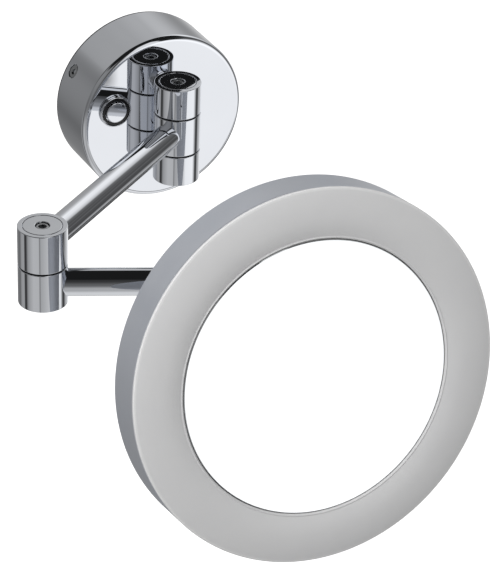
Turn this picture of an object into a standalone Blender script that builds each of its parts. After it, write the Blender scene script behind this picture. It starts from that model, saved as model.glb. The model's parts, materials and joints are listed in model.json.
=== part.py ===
"""Extendable wall mirror: round chrome base, two swinging arms, lit round head.

The object's frame is in metres with +Z up. Its origin is the middle of the
wall plate's back, on the wall. The wall is the plane Y = 0 and the object
stands out along -Y. Every moving piece hangs under an empty on its joint axis.
"""

import math

import bmesh
import bpy
from mathutils import Matrix

# ---------------------------------------------------------------- clearances
REST_GAP = 0.0003  # between two pieces that rest on each other
RUN_GAP = 0.0003  # all round a pin, a bush or a disc that turns
OVERCUT = 0.002  # how far a cutter runs past the wall it cuts

# ---------------------------------------------------------------- round cuts
DRUM_SEGMENTS = 48
BARREL_SEGMENTS = 20
PIN_SEGMENTS = 14
SMOOTH_ANGLE = math.radians(35)

# ---------------------------------------------------------------------- base
DRUM_RADIUS = 0.0500
DRUM_DEPTH = 0.0375
DRUM_EDGE = 0.0030
COVER_WALL = 0.0015
GASKET_THICKNESS = 0.0010
GASKET_INSET = 0.0003

PLATE_THICKNESS = 0.0020
PLATE_RIM_WALL = 0.0020
PLATE_RIM_HEIGHT = 0.0140
SLOT_SPACING = 0.0600
SLOT_LENGTH = 0.0090
SLOT_WIDTH = 0.0050

CABLE_HOLE_RADIUS = 0.0070
CABLE_HOLE_X = -0.0040
CABLE_HOLE_Z = 0.0250
GROMMET_WALL = 0.0020
GROMMET_LIP = 0.0015

GRUB_ANGLE = math.radians(150)
GRUB_DEPTH = 0.0087
GRUB_RADIUS = 0.0025
GRUB_HEAD_RADIUS = 0.0038
GRUB_HEAD_DEPTH = 0.0010
GRUB_LENGTH = 0.0070
GRUB_SOCKET = 0.0030

DRIVER_SIZE = (0.0440, 0.0220, 0.0180)
DRIVER_CENTRE = (0.0040, -0.0230)
TERMINAL_SIZE = (0.0220, 0.0120, 0.0120)
TERMINAL_CENTRE = (0.0200, 0.0220)

# -------------------------------------------------------------------- button
BUTTON_X = -0.0305
BUTTON_Z = 0.0105
BUTTON_TRAVEL = 0.0015
BEZEL_RADIUS = 0.0094
BEZEL_HEIGHT = 0.0018
BEZEL_LIP = 0.0009
SLEEVE_RADIUS = 0.0077
SLEEVE_LENGTH = 0.0170
BUTTON_CAP_RADIUS = 0.0062
BUTTON_CAP_DEPTH = 0.0045
BUTTON_CAP_PROUD = 0.0008
BUTTON_STEM_RADIUS = 0.0015
BUTTON_RING_WALL = 0.0016
BUTTON_NUT_FLATS = 0.0200
BUTTON_NUT_THICKNESS = 0.0030
SWITCH_LENGTH = 0.0100
SPRING_RADIUS = 0.0040
SPRING_WIRE = 0.0003
SPRING_TURNS = 4
SPRING_POINTS = 8

# ---------------------------------------------------------------- pivot posts
ARM_RISE = 0.0010  # arm 1's centre line above the drum's centre
FACE_GAP = 0.0043  # between the drum's face and the post's barrels
BARREL_RADIUS = 0.0133
BARREL_EDGE = 0.0003
BARREL_HEIGHT = 0.0223
BARREL_GAP = 0.0009
POST_END_HEIGHT = 0.0179
STUB_RADIUS = 0.0070

CAP_RIM = 0.0029  # width of a barrel's end face round the inset disc
CAP_THICKNESS = 0.0023
CAP_HOLE_RADIUS = 0.0039
PIVOT_RADIUS = 0.0030
PIVOT_HEAD_RADIUS = 0.0052
PIVOT_HEAD_HEIGHT = 0.0040
PIVOT_COLLAR_RADIUS = 0.0034  # the head's collar, which fills the disc's hole
PIVOT_COLLAR_SINK = 0.0006
PIVOT_SOCKET = 0.0040
PIVOT_SOCKET_DEPTH = 0.0025
BUSH_WALL = 0.0014
BUSH_INSET = 0.0010
WASHER_THICKNESS = 0.0003
WASHER_INSET = 0.0012
NUT_BOSS_RADIUS = 0.0050
NUT_BOSS_HEIGHT = 0.0025
SPRING_WASHER_RADIUS = 0.0058
SPRING_WASHER_HEIGHT = 0.0010
SPRING_WASHER_THICKNESS = 0.0006

# ---------------------------------------------------------------------- arms
TUBE_RADIUS = 0.0075
TUBE_WALL = 0.0012
POCKET_DEPTH = 0.0040  # how deep a tube's pocket goes into a barrel
ARM_1_LENGTH = 0.1500
ARM_2_LENGTH = 0.1120
ARM_1_ANGLE = math.radians(216)  # seen from above, from +X
ARM_2_ANGLE = math.radians(-24)

# --------------------------------------------------------- post's own fixings
BRACKET_WIDTH = 0.0260
BRACKET_HEIGHT = 0.0580
BRACKET_THICKNESS = 0.0030
POST_SCREW_RADIUS = 0.0025
POST_SCREW_HEAD_RADIUS = 0.0045
POST_SCREW_HEAD_HEIGHT = 0.0035
POST_SCREW_GRIP = 0.0035  # length inside the stub

# ---------------------------------------------------------- head's tilt joint
HEAD_YAW = math.radians(-3)
HEAD_TILT = math.radians(12)
STEM_LENGTH = 0.0380  # swivel axis to tilt axis
STEM_RADIUS = 0.0055
STEM_NECK_LENGTH = 0.0110
EYE_RADIUS = 0.0075
EYE_WIDTH = 0.0080
EAR_WIDTH = 0.0040
EAR_GAP = 0.0009
TILT_TO_HEAD = 0.0140
FOOT_RADIUS = 0.0200
FOOT_THICKNESS = 0.0025
TILT_PIN_RADIUS = 0.0027
TILT_HEAD_RADIUS = 0.0045
TILT_HEAD_HEIGHT = 0.0030
TILT_NUT_FLATS = 0.0080
TILT_NUT_THICKNESS = 0.0035
FOOT_SCREW_COUNT = 3
FOOT_SCREW_CIRCLE = 0.0150
FOOT_SCREW_RADIUS = 0.0020
FOOT_SCREW_HEAD_RADIUS = 0.0036
FOOT_SCREW_HEAD_HEIGHT = 0.0020
HEAD_PLATE_RADIUS = 0.0240
HEAD_PLATE_THICKNESS = 0.0030

# ---------------------------------------------------------------------- head
HEAD_RADIUS = 0.1010
HEAD_THICKNESS = 0.0260
HEAD_EDGE = 0.0015
HOUSING_WALL = 0.0015
MIRROR_RADIUS = 0.0737
MIRROR_THICKNESS = 0.0032
MIRROR_CURVE = 1.0000  # radius of the magnifying hollow
SEAL_WALL = 0.0006
SEAL_SINK = 0.0014
SEAL_DEPTH = 0.0060
DIFFUSER_RISE = 0.0023
DIFFUSER_CROWN_SHARE = 0.37  # where the ring is highest, from its inner edge
DIFFUSER_SKIN = 0.0025
DIFFUSER_SKIRT = 0.0090
DIFFUSER_LIP_GAP = 0.0004  # between the ring's inner lip and the glass
DIFFUSER_LIP = 0.0011  # thickness of that lip, over the seal
DIFFUSER_FLANGE = 0.0016  # thickness of the rim that lies on the housing
TRAY_SKIN = 0.0020
TRAY_FLOOR = 0.0025
LED_BOARD_THICKNESS = 0.0016
LED_BOARD_SHARE = 0.72  # of the width between the diffuser's skirts
LED_COUNT = 16
LED_SIZE = (0.0035, 0.0028, 0.0008)

# --------------------------------------------- places worked out from the above
BARREL_PITCH = BARREL_HEIGHT + BARREL_GAP
CAP_RADIUS = BARREL_RADIUS - CAP_RIM
RECESS_RADIUS = CAP_RADIUS + RUN_GAP
POCKET_RADIUS = BARREL_RADIUS - POCKET_DEPTH
POST_REACH = DRUM_DEPTH + FACE_GAP + BARREL_RADIUS
COVER_INNER_RADIUS = DRUM_RADIUS - COVER_WALL
PLATE_RADIUS = COVER_INNER_RADIUS - REST_GAP
COVER_BACK = GASKET_THICKNESS + REST_GAP
FACE_INSIDE = DRUM_DEPTH - COVER_WALL
BUSH_INNER_RADIUS = PIVOT_RADIUS + RUN_GAP
BUSH_OUTER_RADIUS = BUSH_INNER_RADIUS + BUSH_WALL
BUSH_BORE_RADIUS = BUSH_OUTER_RADIUS + REST_GAP
HEAD_FRONT = TILT_TO_HEAD + HEAD_THICKNESS
HEAD_BACK_INSIDE = TILT_TO_HEAD + HOUSING_WALL
HOUSING_INNER_RADIUS = HEAD_RADIUS - HOUSING_WALL
SEAL_INNER_RADIUS = MIRROR_RADIUS + REST_GAP
DIFFUSER_INNER_RADIUS = SEAL_INNER_RADIUS + SEAL_WALL + REST_GAP
DIFFUSER_OUTER_RADIUS = HOUSING_INNER_RADIUS - REST_GAP
DIFFUSER_LIP_RADIUS = MIRROR_RADIUS + DIFFUSER_LIP_GAP
HOUSING_RIM = HEAD_FRONT - DIFFUSER_FLANGE - REST_GAP
SKIRT_SPACE = DIFFUSER_OUTER_RADIUS - DIFFUSER_INNER_RADIUS - 2 * DIFFUSER_SKIN

STEEL = ("steel", (0.46, 0.47, 0.49), 1.0, 0.35)
CHROME = ("chrome", (0.80, 0.81, 0.83), 1.0, 0.06)
ALUMINIUM = ("satin_aluminium", (0.55, 0.57, 0.60), 1.0, 0.38)
BRASS = ("brass", (0.70, 0.52, 0.25), 1.0, 0.30)
BLACK_RUBBER = ("black_rubber", (0.02, 0.02, 0.02), 0.0, 0.70)
BLACK_PLASTIC = ("black_plastic", (0.03, 0.03, 0.03), 0.0, 0.45)
WHITE_PLASTIC = ("white_plastic", (0.80, 0.80, 0.79), 0.0, 0.45)
NYLON = ("nylon", (0.10, 0.10, 0.10), 0.0, 0.55)
OPAL = ("opal_acrylic", (0.68, 0.68, 0.67), 0.0, 0.30)
SILVERED_GLASS = ("silvered_glass", (0.93, 0.94, 0.95), 1.0, 0.02)
CIRCUIT = ("circuit_board", (0.75, 0.76, 0.72), 0.0, 0.40)


# ---------------------------------------------------------------- foundations
def clear_scene():
    """Remove every object that the scene holds."""
    for obj in list(bpy.data.objects):
        bpy.data.objects.remove(obj, do_unlink=True)


def make_collection(name):
    """Make a collection and link it to the scene."""
    collection = bpy.data.collections.new(name)
    bpy.context.scene.collection.children.link(collection)
    return collection


def material(finish):
    """Return the Principled material of a finish, made at its first use."""
    name, colour, metallic, roughness = finish
    if name in bpy.data.materials:
        return bpy.data.materials[name]
    mat = bpy.data.materials.new(name)
    mat.use_nodes = True
    shader = mat.node_tree.nodes["Principled BSDF"]
    shader.inputs["Base Color"].default_value = (*colour, 1.0)
    shader.inputs["Metallic"].default_value = metallic
    shader.inputs["Roughness"].default_value = roughness
    return mat


def place(obj, parent, location, rotation):
    """Set an object's parent, and its place in that parent's frame."""
    obj.parent = parent
    obj.location = location
    obj.rotation_euler = rotation
    return obj


def frame_empty(name, parent=None, location=(0, 0, 0), rotation=(0, 0, 0)):
    """Add an empty that carries the pieces of one frame."""
    empty = bpy.data.objects.new(name, None)
    empty.empty_display_size = 0.02
    PARTS.objects.link(empty)
    return place(empty, parent, location, rotation)


def add_part(name, mesh, finish, parent, location=(0, 0, 0), rotation=(0, 0, 0)):
    """Add one named piece to the object's collection."""
    obj = bpy.data.objects.new(name, mesh)
    PARTS.objects.link(obj)
    mesh.materials.append(material(finish))
    return place(obj, parent, location, rotation)


def add_cutter(name, mesh, parent, location=(0, 0, 0), rotation=(0, 0, 0)):
    """Add a shape that only cuts or joins other pieces."""
    obj = bpy.data.objects.new(name, mesh)
    CUTTERS.objects.link(obj)
    obj.hide_render = True
    obj.display_type = "WIRE"
    return place(obj, parent, location, rotation)


def combine(target, tool, operation):
    """Put an exact Boolean of the given kind on a piece."""
    modifier = target.modifiers.new(f"{operation}_{tool.name}", "BOOLEAN")
    modifier.object = tool
    modifier.operation = operation
    modifier.solver = "EXACT"
    return target


def cut(target, tool):
    """Cut a tool's shape out of a piece."""
    return combine(target, tool, "DIFFERENCE")


def join(target, tool):
    """Add a tool's shape to a piece."""
    return combine(target, tool, "UNION")


# --------------------------------------------------------------------- shapes
def mesh_from(builder, name):
    """Run a bmesh builder and return what it made as a mesh."""
    bm = bmesh.new()
    builder(bm)
    mesh = bpy.data.meshes.new(name)
    bm.to_mesh(mesh)
    bm.free()
    return mesh


def rod_mesh(name, radius, low, high, segments=PIN_SEGMENTS):
    """A closed cylinder along Z from low to high."""

    def build(bm):
        bmesh.ops.create_cone(
            bm,
            cap_ends=True,
            segments=segments,
            radius1=radius,
            radius2=radius,
            depth=high - low,
            matrix=Matrix.Translation((0, 0, (low + high) / 2)),
        )

    return mesh_from(build, name)


def box_mesh(name, size, centre, turns=(0.0,)):
    """Closed boxes of one size: about a centre, turned about Z by each angle."""

    def build(bm):
        for turn in turns:
            spin = Matrix.Rotation(turn, 4, "Z")
            stretch = Matrix.Diagonal((*size, 1.0))
            matrix = spin @ Matrix.Translation(centre) @ stretch
            bmesh.ops.create_cube(bm, size=1.0, matrix=matrix)

    return mesh_from(build, name)


def stadium_mesh(name, length, width, low, high):
    """A closed slot shape along X: a box with half round ends."""

    def build(bm):
        half_span = (length - width) / 2
        for x in (-half_span, half_span):
            for z in (low, high):
                bmesh.ops.create_circle(
                    bm,
                    segments=PIN_SEGMENTS,
                    radius=width / 2,
                    matrix=Matrix.Translation((x, 0, z)),
                )
        hull = bmesh.ops.convex_hull(bm, input=bm.verts)
        inner = [g for g in hull["geom_interior"] if isinstance(g, bmesh.types.BMVert)]
        bmesh.ops.delete(bm, geom=inner, context="VERTS")
        loose = [edge for edge in bm.edges if edge.is_wire]
        bmesh.ops.delete(bm, geom=loose, context="EDGES")
        bmesh.ops.recalc_face_normals(bm, faces=bm.faces)

    return mesh_from(build, name)


def hexagon_mesh(name, flats, low, high):
    """A closed hexagonal prism along Z, by its width across flats."""
    corner_radius = flats / math.sqrt(3)
    return rod_mesh(name, corner_radius, low, high, segments=6)


def profile_mesh(name, points, closed):
    """An open or closed chain of edges in the XZ plane."""
    mesh = bpy.data.meshes.new(name)
    count = len(points)
    edges = [(i, i + 1) for i in range(count - 1)]
    if closed:
        edges.append((count - 1, 0))
    mesh.from_pydata([(x, 0.0, z) for x, z in points], edges, [])
    return mesh


def add_screw_modifier(obj, segments):
    """Turn an object's profile once about its Z axis."""
    screw = obj.modifiers.new("turn", "SCREW")
    screw.axis = "Z"
    screw.angle = math.tau
    screw.steps = segments
    screw.render_steps = segments
    screw.use_merge_vertices = True
    screw.merge_threshold = 0.00001
    screw.use_smooth_shade = False


def turned(name, points, finish, parent, segments, **where):
    """A turned piece: its profile runs down the outer side, top to bottom.

    A profile that starts on the axis is solid, any other is a closed ring.
    """
    ring = points[0][0] > 0
    mesh = profile_mesh(name, points, closed=ring)
    obj = add_part(name, mesh, finish, parent, **where)
    add_screw_modifier(obj, segments)
    return obj


def cut_stepped_hole(target, name, parent, head_radius, shank_radius, steps):
    """Cut a round hole with a wider mouth; steps are its top, shelf and bottom."""
    top, shelf, bottom = steps
    points = [
        (0, top),
        (head_radius, top),
        (head_radius, shelf),
        (shank_radius, shelf),
        (shank_radius, bottom),
        (0, bottom),
    ]
    cutter = add_cutter(name, profile_mesh(name, points, closed=False), parent)
    add_screw_modifier(cutter, PIN_SEGMENTS)
    return cut(target, cutter)


def arc(centre, radius, start, end, steps):
    """Points of an arc in the XZ plane, from one angle to another."""
    cx, cz = centre
    angles = [start + (end - start) * i / steps for i in range(steps + 1)]
    return [(cx + radius * math.cos(a), cz + radius * math.sin(a)) for a in angles]


def ring_profile(inner, outer, low, high):
    """The closed profile of a plain ring."""
    return [(outer, high), (outer, low), (inner, low), (inner, high)]


# ----------------------------------------------------------------------- base
def build_wall_plate(base, grub_axis):
    """Steel pan that is screwed to the wall and carries the cover."""
    inner = PLATE_RADIUS - PLATE_RIM_WALL
    points = [
        (0, PLATE_THICKNESS),
        (inner, PLATE_THICKNESS),
        (inner, PLATE_RIM_HEIGHT),
        (PLATE_RADIUS, PLATE_RIM_HEIGHT),
        (PLATE_RADIUS, 0),
        (0, 0),
    ]
    plate = turned("wall_plate", points, STEEL, base, DRUM_SEGMENTS)
    low, high = -OVERCUT, PLATE_THICKNESS + OVERCUT
    cable = rod_mesh("cut_cable_hole", CABLE_HOLE_RADIUS, low, high)
    cut(plate, add_cutter("cut_cable_hole", cable, base, (CABLE_HOLE_X, CABLE_HOLE_Z, 0)))
    for side, sign in (("left", -1), ("right", 1)):
        name = f"cut_slot_{side}"
        slot = stadium_mesh(name, SLOT_LENGTH, SLOT_WIDTH, low, high)
        cut(plate, add_cutter(name, slot, base, (sign * SLOT_SPACING / 2, 0, 0)))
    hole = rod_mesh("cut_grub_plate", GRUB_RADIUS + RUN_GAP, inner - OVERCUT, DRUM_RADIUS)
    return cut(plate, add_cutter("cut_grub_plate", hole, grub_axis))


def build_grommet(base):
    """Rubber ring that lines the wall plate's cable hole."""
    neck = CABLE_HOLE_RADIUS - REST_GAP
    lip = CABLE_HOLE_RADIUS + GROMMET_LIP
    seat = PLATE_THICKNESS + REST_GAP
    points = [
        (lip, seat + GROMMET_LIP),
        (lip, seat),
        (neck, seat),
        (neck, 0),
        (neck - GROMMET_WALL, 0),
        (neck - GROMMET_WALL, seat + GROMMET_LIP),
    ]
    where = {"location": (CABLE_HOLE_X, CABLE_HOLE_Z, 0)}
    return turned("cable_grommet", points, BLACK_RUBBER, base, PIN_SEGMENTS, **where)


def build_gasket(base):
    """Foam ring between the wall and the cover's rim."""
    outer = DRUM_RADIUS - GASKET_INSET
    points = ring_profile(COVER_INNER_RADIUS, outer, 0, GASKET_THICKNESS)
    return turned("base_gasket", points, BLACK_RUBBER, base, DRUM_SEGMENTS)


def build_cover(base, grub_axis):
    """Chrome drum: a cup with its mouth to the wall and a rounded front edge."""
    corner = arc(
        (DRUM_RADIUS - DRUM_EDGE, DRUM_DEPTH - DRUM_EDGE), DRUM_EDGE, math.pi / 2, 0, 4
    )
    points = [
        (0, DRUM_DEPTH),
        *corner,
        (DRUM_RADIUS, COVER_BACK),
        (COVER_INNER_RADIUS, COVER_BACK),
        (COVER_INNER_RADIUS, FACE_INSIDE),
        (0, FACE_INSIDE),
    ]
    cover = turned("base_cover", points, CHROME, base, DRUM_SEGMENTS)
    low, high = FACE_INSIDE - OVERCUT, DRUM_DEPTH + OVERCUT
    button = rod_mesh("cut_button", SLEEVE_RADIUS + REST_GAP, low, high)
    cut(cover, add_cutter("cut_button", button, base, (BUTTON_X, BUTTON_Z, 0)))
    for side, height in post_screw_heights():
        name = f"cut_post_screw_{side}"
        hole = rod_mesh(name, POST_SCREW_RADIUS + REST_GAP, low, high)
        cut(cover, add_cutter(name, hole, base, (0, height, 0)))
    head, shank = GRUB_HEAD_RADIUS + RUN_GAP, GRUB_RADIUS + RUN_GAP
    shelf = DRUM_RADIUS - GRUB_HEAD_DEPTH
    steps = (DRUM_RADIUS + OVERCUT, shelf, COVER_INNER_RADIUS - OVERCUT)
    return cut_stepped_hole(cover, "cut_grub", grub_axis, head, shank, steps)


def build_grub_screw(grub_axis):
    """Side screw that holds the cover to the wall plate, with a hex socket."""
    top = DRUM_RADIUS - REST_GAP
    under_head = DRUM_RADIUS - GRUB_HEAD_DEPTH + REST_GAP
    points = [
        (0, top),
        (GRUB_HEAD_RADIUS, top),
        (GRUB_HEAD_RADIUS, under_head),
        (GRUB_RADIUS, under_head),
        (GRUB_RADIUS, top - GRUB_LENGTH),
        (0, top - GRUB_LENGTH),
    ]
    screw = turned("base_grub_screw", points, STEEL, grub_axis, PIN_SEGMENTS)
    socket = hexagon_mesh("cut_grub_socket", GRUB_SOCKET, top - GRUB_LENGTH / 2, top + OVERCUT)
    return cut(screw, add_cutter("cut_grub_socket", socket, grub_axis))


def post_screw_heights():
    """Name and height of the two screws that hold the post's end barrels."""
    reach = BARREL_HEIGHT / 2 + BARREL_GAP + POST_END_HEIGHT / 2
    return (("upper", ARM_RISE + reach), ("lower", ARM_RISE - reach))


def build_post_bracket(base):
    """Steel strip behind the drum's face that spreads the post's load."""
    high = FACE_INSIDE - REST_GAP
    middle = high - BRACKET_THICKNESS / 2
    size = (BRACKET_WIDTH, BRACKET_HEIGHT, BRACKET_THICKNESS)
    mesh = box_mesh("post_bracket", size, (0, ARM_RISE, middle))
    bracket = add_part("post_bracket", mesh, STEEL, base)
    for side, height in post_screw_heights():
        name = f"cut_bracket_{side}"
        low = high - BRACKET_THICKNESS - OVERCUT
        hole = rod_mesh(name, POST_SCREW_RADIUS + REST_GAP, low, high + OVERCUT)
        cut(bracket, add_cutter(name, hole, base, (0, height, 0)))
    return bracket


def build_post_screws(base):
    """Two screws from inside the drum into the post's stubs."""
    seat = FACE_INSIDE - REST_GAP - BRACKET_THICKNESS - REST_GAP
    tip = DRUM_DEPTH + REST_GAP + POST_SCREW_GRIP
    points = [
        (0, tip),
        (POST_SCREW_RADIUS, tip),
        (POST_SCREW_RADIUS, seat),
        (POST_SCREW_HEAD_RADIUS, seat),
        (POST_SCREW_HEAD_RADIUS, seat - POST_SCREW_HEAD_HEIGHT),
        (0, seat - POST_SCREW_HEAD_HEIGHT),
    ]
    for side, height in post_screw_heights():
        where = {"location": (0, height, 0)}
        turned(f"post_screw_{side}", points, STEEL, base, PIN_SEGMENTS, **where)


def build_electrics(base):
    """The lamp's power supply and the mains terminal block, inside the drum."""
    floor = PLATE_THICKNESS + REST_GAP
    blocks = (
        ("led_driver", DRIVER_SIZE, DRIVER_CENTRE, WHITE_PLASTIC),
        ("terminal_block", TERMINAL_SIZE, TERMINAL_CENTRE, BLACK_PLASTIC),
    )
    for name, size, (x, y), finish in blocks:
        mesh = box_mesh(name, size, (x, y, floor + size[2] / 2))
        block = add_part(name, mesh, finish, base)
        bevel = block.modifiers.new("edges", "BEVEL")
        bevel.width = 0.0010
        bevel.segments = 1


# --------------------------------------------------------------------- button
def build_button_case(button):
    """Bezel with its sleeve, black ring, nut and switch: the parts that stay."""
    front = DRUM_DEPTH + REST_GAP + BEZEL_HEIGHT
    seat = DRUM_DEPTH + REST_GAP
    ring_outer = BEZEL_RADIUS - BEZEL_LIP - REST_GAP
    ring_inner = ring_outer - BUTTON_RING_WALL
    ring_low = front - BEZEL_HEIGHT / 2
    bore = BUTTON_CAP_RADIUS + RUN_GAP
    sleeve_end = DRUM_DEPTH - SLEEVE_LENGTH
    points = [
        (BEZEL_RADIUS - BEZEL_LIP, front),
        (BEZEL_RADIUS - BEZEL_LIP / 2, front),
        (BEZEL_RADIUS, front - BEZEL_LIP / 2),
        (BEZEL_RADIUS, seat),
        (SLEEVE_RADIUS, seat),
        (SLEEVE_RADIUS, sleeve_end),
        (bore, sleeve_end),
        (bore, ring_low - REST_GAP),
        (BEZEL_RADIUS - BEZEL_LIP, ring_low - REST_GAP),
    ]
    turned("button_bezel", points, CHROME, button, BARREL_SEGMENTS)
    points = ring_profile(ring_inner, ring_outer, ring_low, front - REST_GAP)
    turned("button_ring", points, BLACK_PLASTIC, button, BARREL_SEGMENTS)

    nut_high = FACE_INSIDE - REST_GAP
    nut_low = nut_high - BUTTON_NUT_THICKNESS
    nut_mesh = hexagon_mesh("button_nut", BUTTON_NUT_FLATS, nut_low, nut_high)
    nut = add_part("button_nut", nut_mesh, STEEL, button)
    hole = rod_mesh("cut_nut", SLEEVE_RADIUS + REST_GAP, nut_low - OVERCUT, nut_high + OVERCUT)
    cut(nut, add_cutter("cut_nut", hole, button))

    plug = bore - REST_GAP
    switch_top = sleeve_end + SWITCH_LENGTH / 4
    shoulder = sleeve_end - REST_GAP
    stem_hole = BUTTON_STEM_RADIUS + RUN_GAP
    points = [
        (plug, switch_top),
        (plug, shoulder),
        (SLEEVE_RADIUS, shoulder),
        (SLEEVE_RADIUS, shoulder - SWITCH_LENGTH),
        (stem_hole, shoulder - SWITCH_LENGTH),
        (stem_hole, switch_top),
    ]
    turned("button_switch", points, BLACK_PLASTIC, button, PIN_SEGMENTS)
    return switch_top


def build_button_cap(button, switch_top):
    """The chrome cap that is pressed, with its stem's tip in the switch."""
    front = DRUM_DEPTH + REST_GAP + BEZEL_HEIGHT + BUTTON_CAP_PROUD
    back = front - BUTTON_CAP_DEPTH
    tip = switch_top - BUTTON_TRAVEL
    edge = BUTTON_CAP_PROUD / 2
    points = [
        (0, front),
        (BUTTON_CAP_RADIUS - 2 * edge, front - edge / 2),
        (BUTTON_CAP_RADIUS, front - 2 * edge),
        (BUTTON_CAP_RADIUS, back),
        (BUTTON_STEM_RADIUS, back),
        (BUTTON_STEM_RADIUS, tip),
        (0, tip),
    ]
    turned("button_cap", points, CHROME, button, BARREL_SEGMENTS)
    return back


def build_button_spring(button, low, high):
    """Coil spring round the stem that pushes the cap out."""
    bottom = low + REST_GAP + SPRING_WIRE
    top = high - REST_GAP - SPRING_WIRE
    count = SPRING_TURNS * SPRING_POINTS
    curve = bpy.data.curves.new("button_spring", "CURVE")
    curve.dimensions = "3D"
    curve.bevel_depth = SPRING_WIRE
    curve.bevel_resolution = 2
    curve.use_fill_caps = True
    spline = curve.splines.new("POLY")
    spline.points.add(count)
    for i, point in enumerate(spline.points):
        angle = math.tau * i / SPRING_POINTS
        height = bottom + (top - bottom) * i / count
        x = SPRING_RADIUS * math.cos(angle)
        y = SPRING_RADIUS * math.sin(angle)
        point.co = (x, y, height, 1.0)
    obj = bpy.data.objects.new("button_spring", curve)
    PARTS.objects.link(obj)
    curve.materials.append(material(STEEL))
    return place(obj, button, (0, 0, 0), (0, 0, 0))


def build_button(base):
    """Sprung push button in the drum's face."""
    button = frame_empty("button_axis", base, (BUTTON_X, BUTTON_Z, 0))
    switch_top = build_button_case(button)
    cap_back = build_button_cap(button, switch_top)
    build_button_spring(button, switch_top, cap_back)


# --------------------------------------------------------------------- pivots
def nut_well_depth():
    """Height of a nut's well above the barrel's lower end."""
    spring_room = SPRING_WASHER_HEIGHT + 2 * REST_GAP
    return CAP_THICKNESS + REST_GAP + NUT_BOSS_HEIGHT + spring_room


def barrel_profile(height, capped_top, capped_bottom, bore):
    """Closed profile of a barrel centred on Z = 0, with recesses at its ends.

    A capped top takes the inset disc and the pivot screw's head, a capped
    bottom takes the nut and its spring washer.
    """
    top, bottom = height / 2, -height / 2
    points = [
        (BARREL_RADIUS - BARREL_EDGE, top),
        (BARREL_RADIUS, top - BARREL_EDGE),
        (BARREL_RADIUS, bottom + BARREL_EDGE),
        (BARREL_RADIUS - BARREL_EDGE, bottom),
    ]
    if capped_bottom:
        shelf = bottom + CAP_THICKNESS + REST_GAP
        well = SPRING_WASHER_RADIUS + RUN_GAP
        depth = bottom + nut_well_depth()
        points += [(RECESS_RADIUS, bottom), (RECESS_RADIUS, shelf)]
        points += [(well, shelf), (well, depth), (bore, depth)]
    else:
        points.append((bore, bottom))
    if capped_top:
        shelf = top - CAP_THICKNESS - REST_GAP
        well = PIVOT_HEAD_RADIUS + RUN_GAP
        depth = shelf - PIVOT_HEAD_HEIGHT - REST_GAP
        points += [(bore, depth), (well, depth), (well, shelf)]
        points += [(RECESS_RADIUS, shelf), (RECESS_RADIUS, top)]
    else:
        points.append((bore, top))
    return points


def build_barrel(name, frame, height, centre, ends="", bushed=False):
    """One chrome barrel of a pivot.

    ends says which recesses it has: "top", "bottom" or neither.
    """
    bore = BUSH_BORE_RADIUS if bushed else BUSH_INNER_RADIUS
    points = barrel_profile(height, ends == "top", ends == "bottom", bore)
    where = {"location": (0, 0, centre)}
    return turned(name, points, CHROME, frame, BARREL_SEGMENTS, **where)


def build_pivot_screw(name, frame, barrel_top, barrel_bottom):
    """Hex socket screw that runs the whole height of a pivot."""
    collar_top = barrel_top - PIVOT_COLLAR_SINK
    head_top = barrel_top - CAP_THICKNESS - REST_GAP
    head_low = head_top - PIVOT_HEAD_HEIGHT
    tip = barrel_bottom + CAP_THICKNESS / 2
    points = [
        (0, collar_top),
        (PIVOT_COLLAR_RADIUS, collar_top),
        (PIVOT_COLLAR_RADIUS, head_top),
        (PIVOT_HEAD_RADIUS, head_top),
        (PIVOT_HEAD_RADIUS, head_low),
        (PIVOT_RADIUS, head_low),
        (PIVOT_RADIUS, tip),
        (0, tip),
    ]
    screw = turned(name, points, STEEL, frame, PIN_SEGMENTS)
    low = collar_top - PIVOT_SOCKET_DEPTH
    socket = hexagon_mesh(f"cut_{name}", PIVOT_SOCKET, low, collar_top + OVERCUT)
    return cut(screw, add_cutter(f"cut_{name}", socket, frame))


def build_pivot_cap(name, frame, barrel_top):
    """Inset disc that covers the screw's head but for its socket."""
    low = barrel_top - CAP_THICKNESS
    points = ring_profile(CAP_HOLE_RADIUS, CAP_RADIUS, low, barrel_top)
    return turned(name, points, CHROME, frame, BARREL_SEGMENTS)


def build_pivot_nut(name, frame, barrel_bottom):
    """Round nut that closes the pivot's lower end, flush with the barrel."""
    shelf = barrel_bottom + CAP_THICKNESS
    thread = PIVOT_RADIUS + REST_GAP
    floor = barrel_bottom + CAP_THICKNESS / 2 - REST_GAP
    points = [
        (0, floor),
        (thread, floor),
        (thread, shelf + NUT_BOSS_HEIGHT),
        (NUT_BOSS_RADIUS, shelf + NUT_BOSS_HEIGHT),
        (NUT_BOSS_RADIUS, shelf),
        (CAP_RADIUS, shelf),
        (CAP_RADIUS, barrel_bottom),
        (0, barrel_bottom),
    ]
    return turned(name, points, CHROME, frame, BARREL_SEGMENTS)


def build_spring_washer(name, frame, barrel_bottom):
    """Dished washer on the nut's boss that keeps the pivot tight."""
    low = barrel_bottom + CAP_THICKNESS + NUT_BOSS_HEIGHT + REST_GAP
    rise = SPRING_WASHER_HEIGHT - SPRING_WASHER_THICKNESS
    points = [
        (SPRING_WASHER_RADIUS, low + SPRING_WASHER_HEIGHT),
        (SPRING_WASHER_RADIUS, low + rise),
        (BUSH_INNER_RADIUS, low),
        (BUSH_INNER_RADIUS, low + SPRING_WASHER_THICKNESS),
    ]
    return turned(name, points, STEEL, frame, PIN_SEGMENTS)


def build_friction_washer(name, frame, height):
    """Thin nylon ring between two barrels."""
    half = WASHER_THICKNESS / 2
    outer = BARREL_RADIUS - WASHER_INSET
    points = ring_profile(BUSH_INNER_RADIUS, outer, height - half, height + half)
    return turned(name, points, NYLON, frame, BARREL_SEGMENTS)


def build_bush(name, frame, low, high):
    """Bronze sleeve in a barrel's bore that turns on the pivot screw."""
    points = ring_profile(BUSH_INNER_RADIUS, BUSH_OUTER_RADIUS, low, high)
    return turned(name, points, BRASS, frame, PIN_SEGMENTS)


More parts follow.
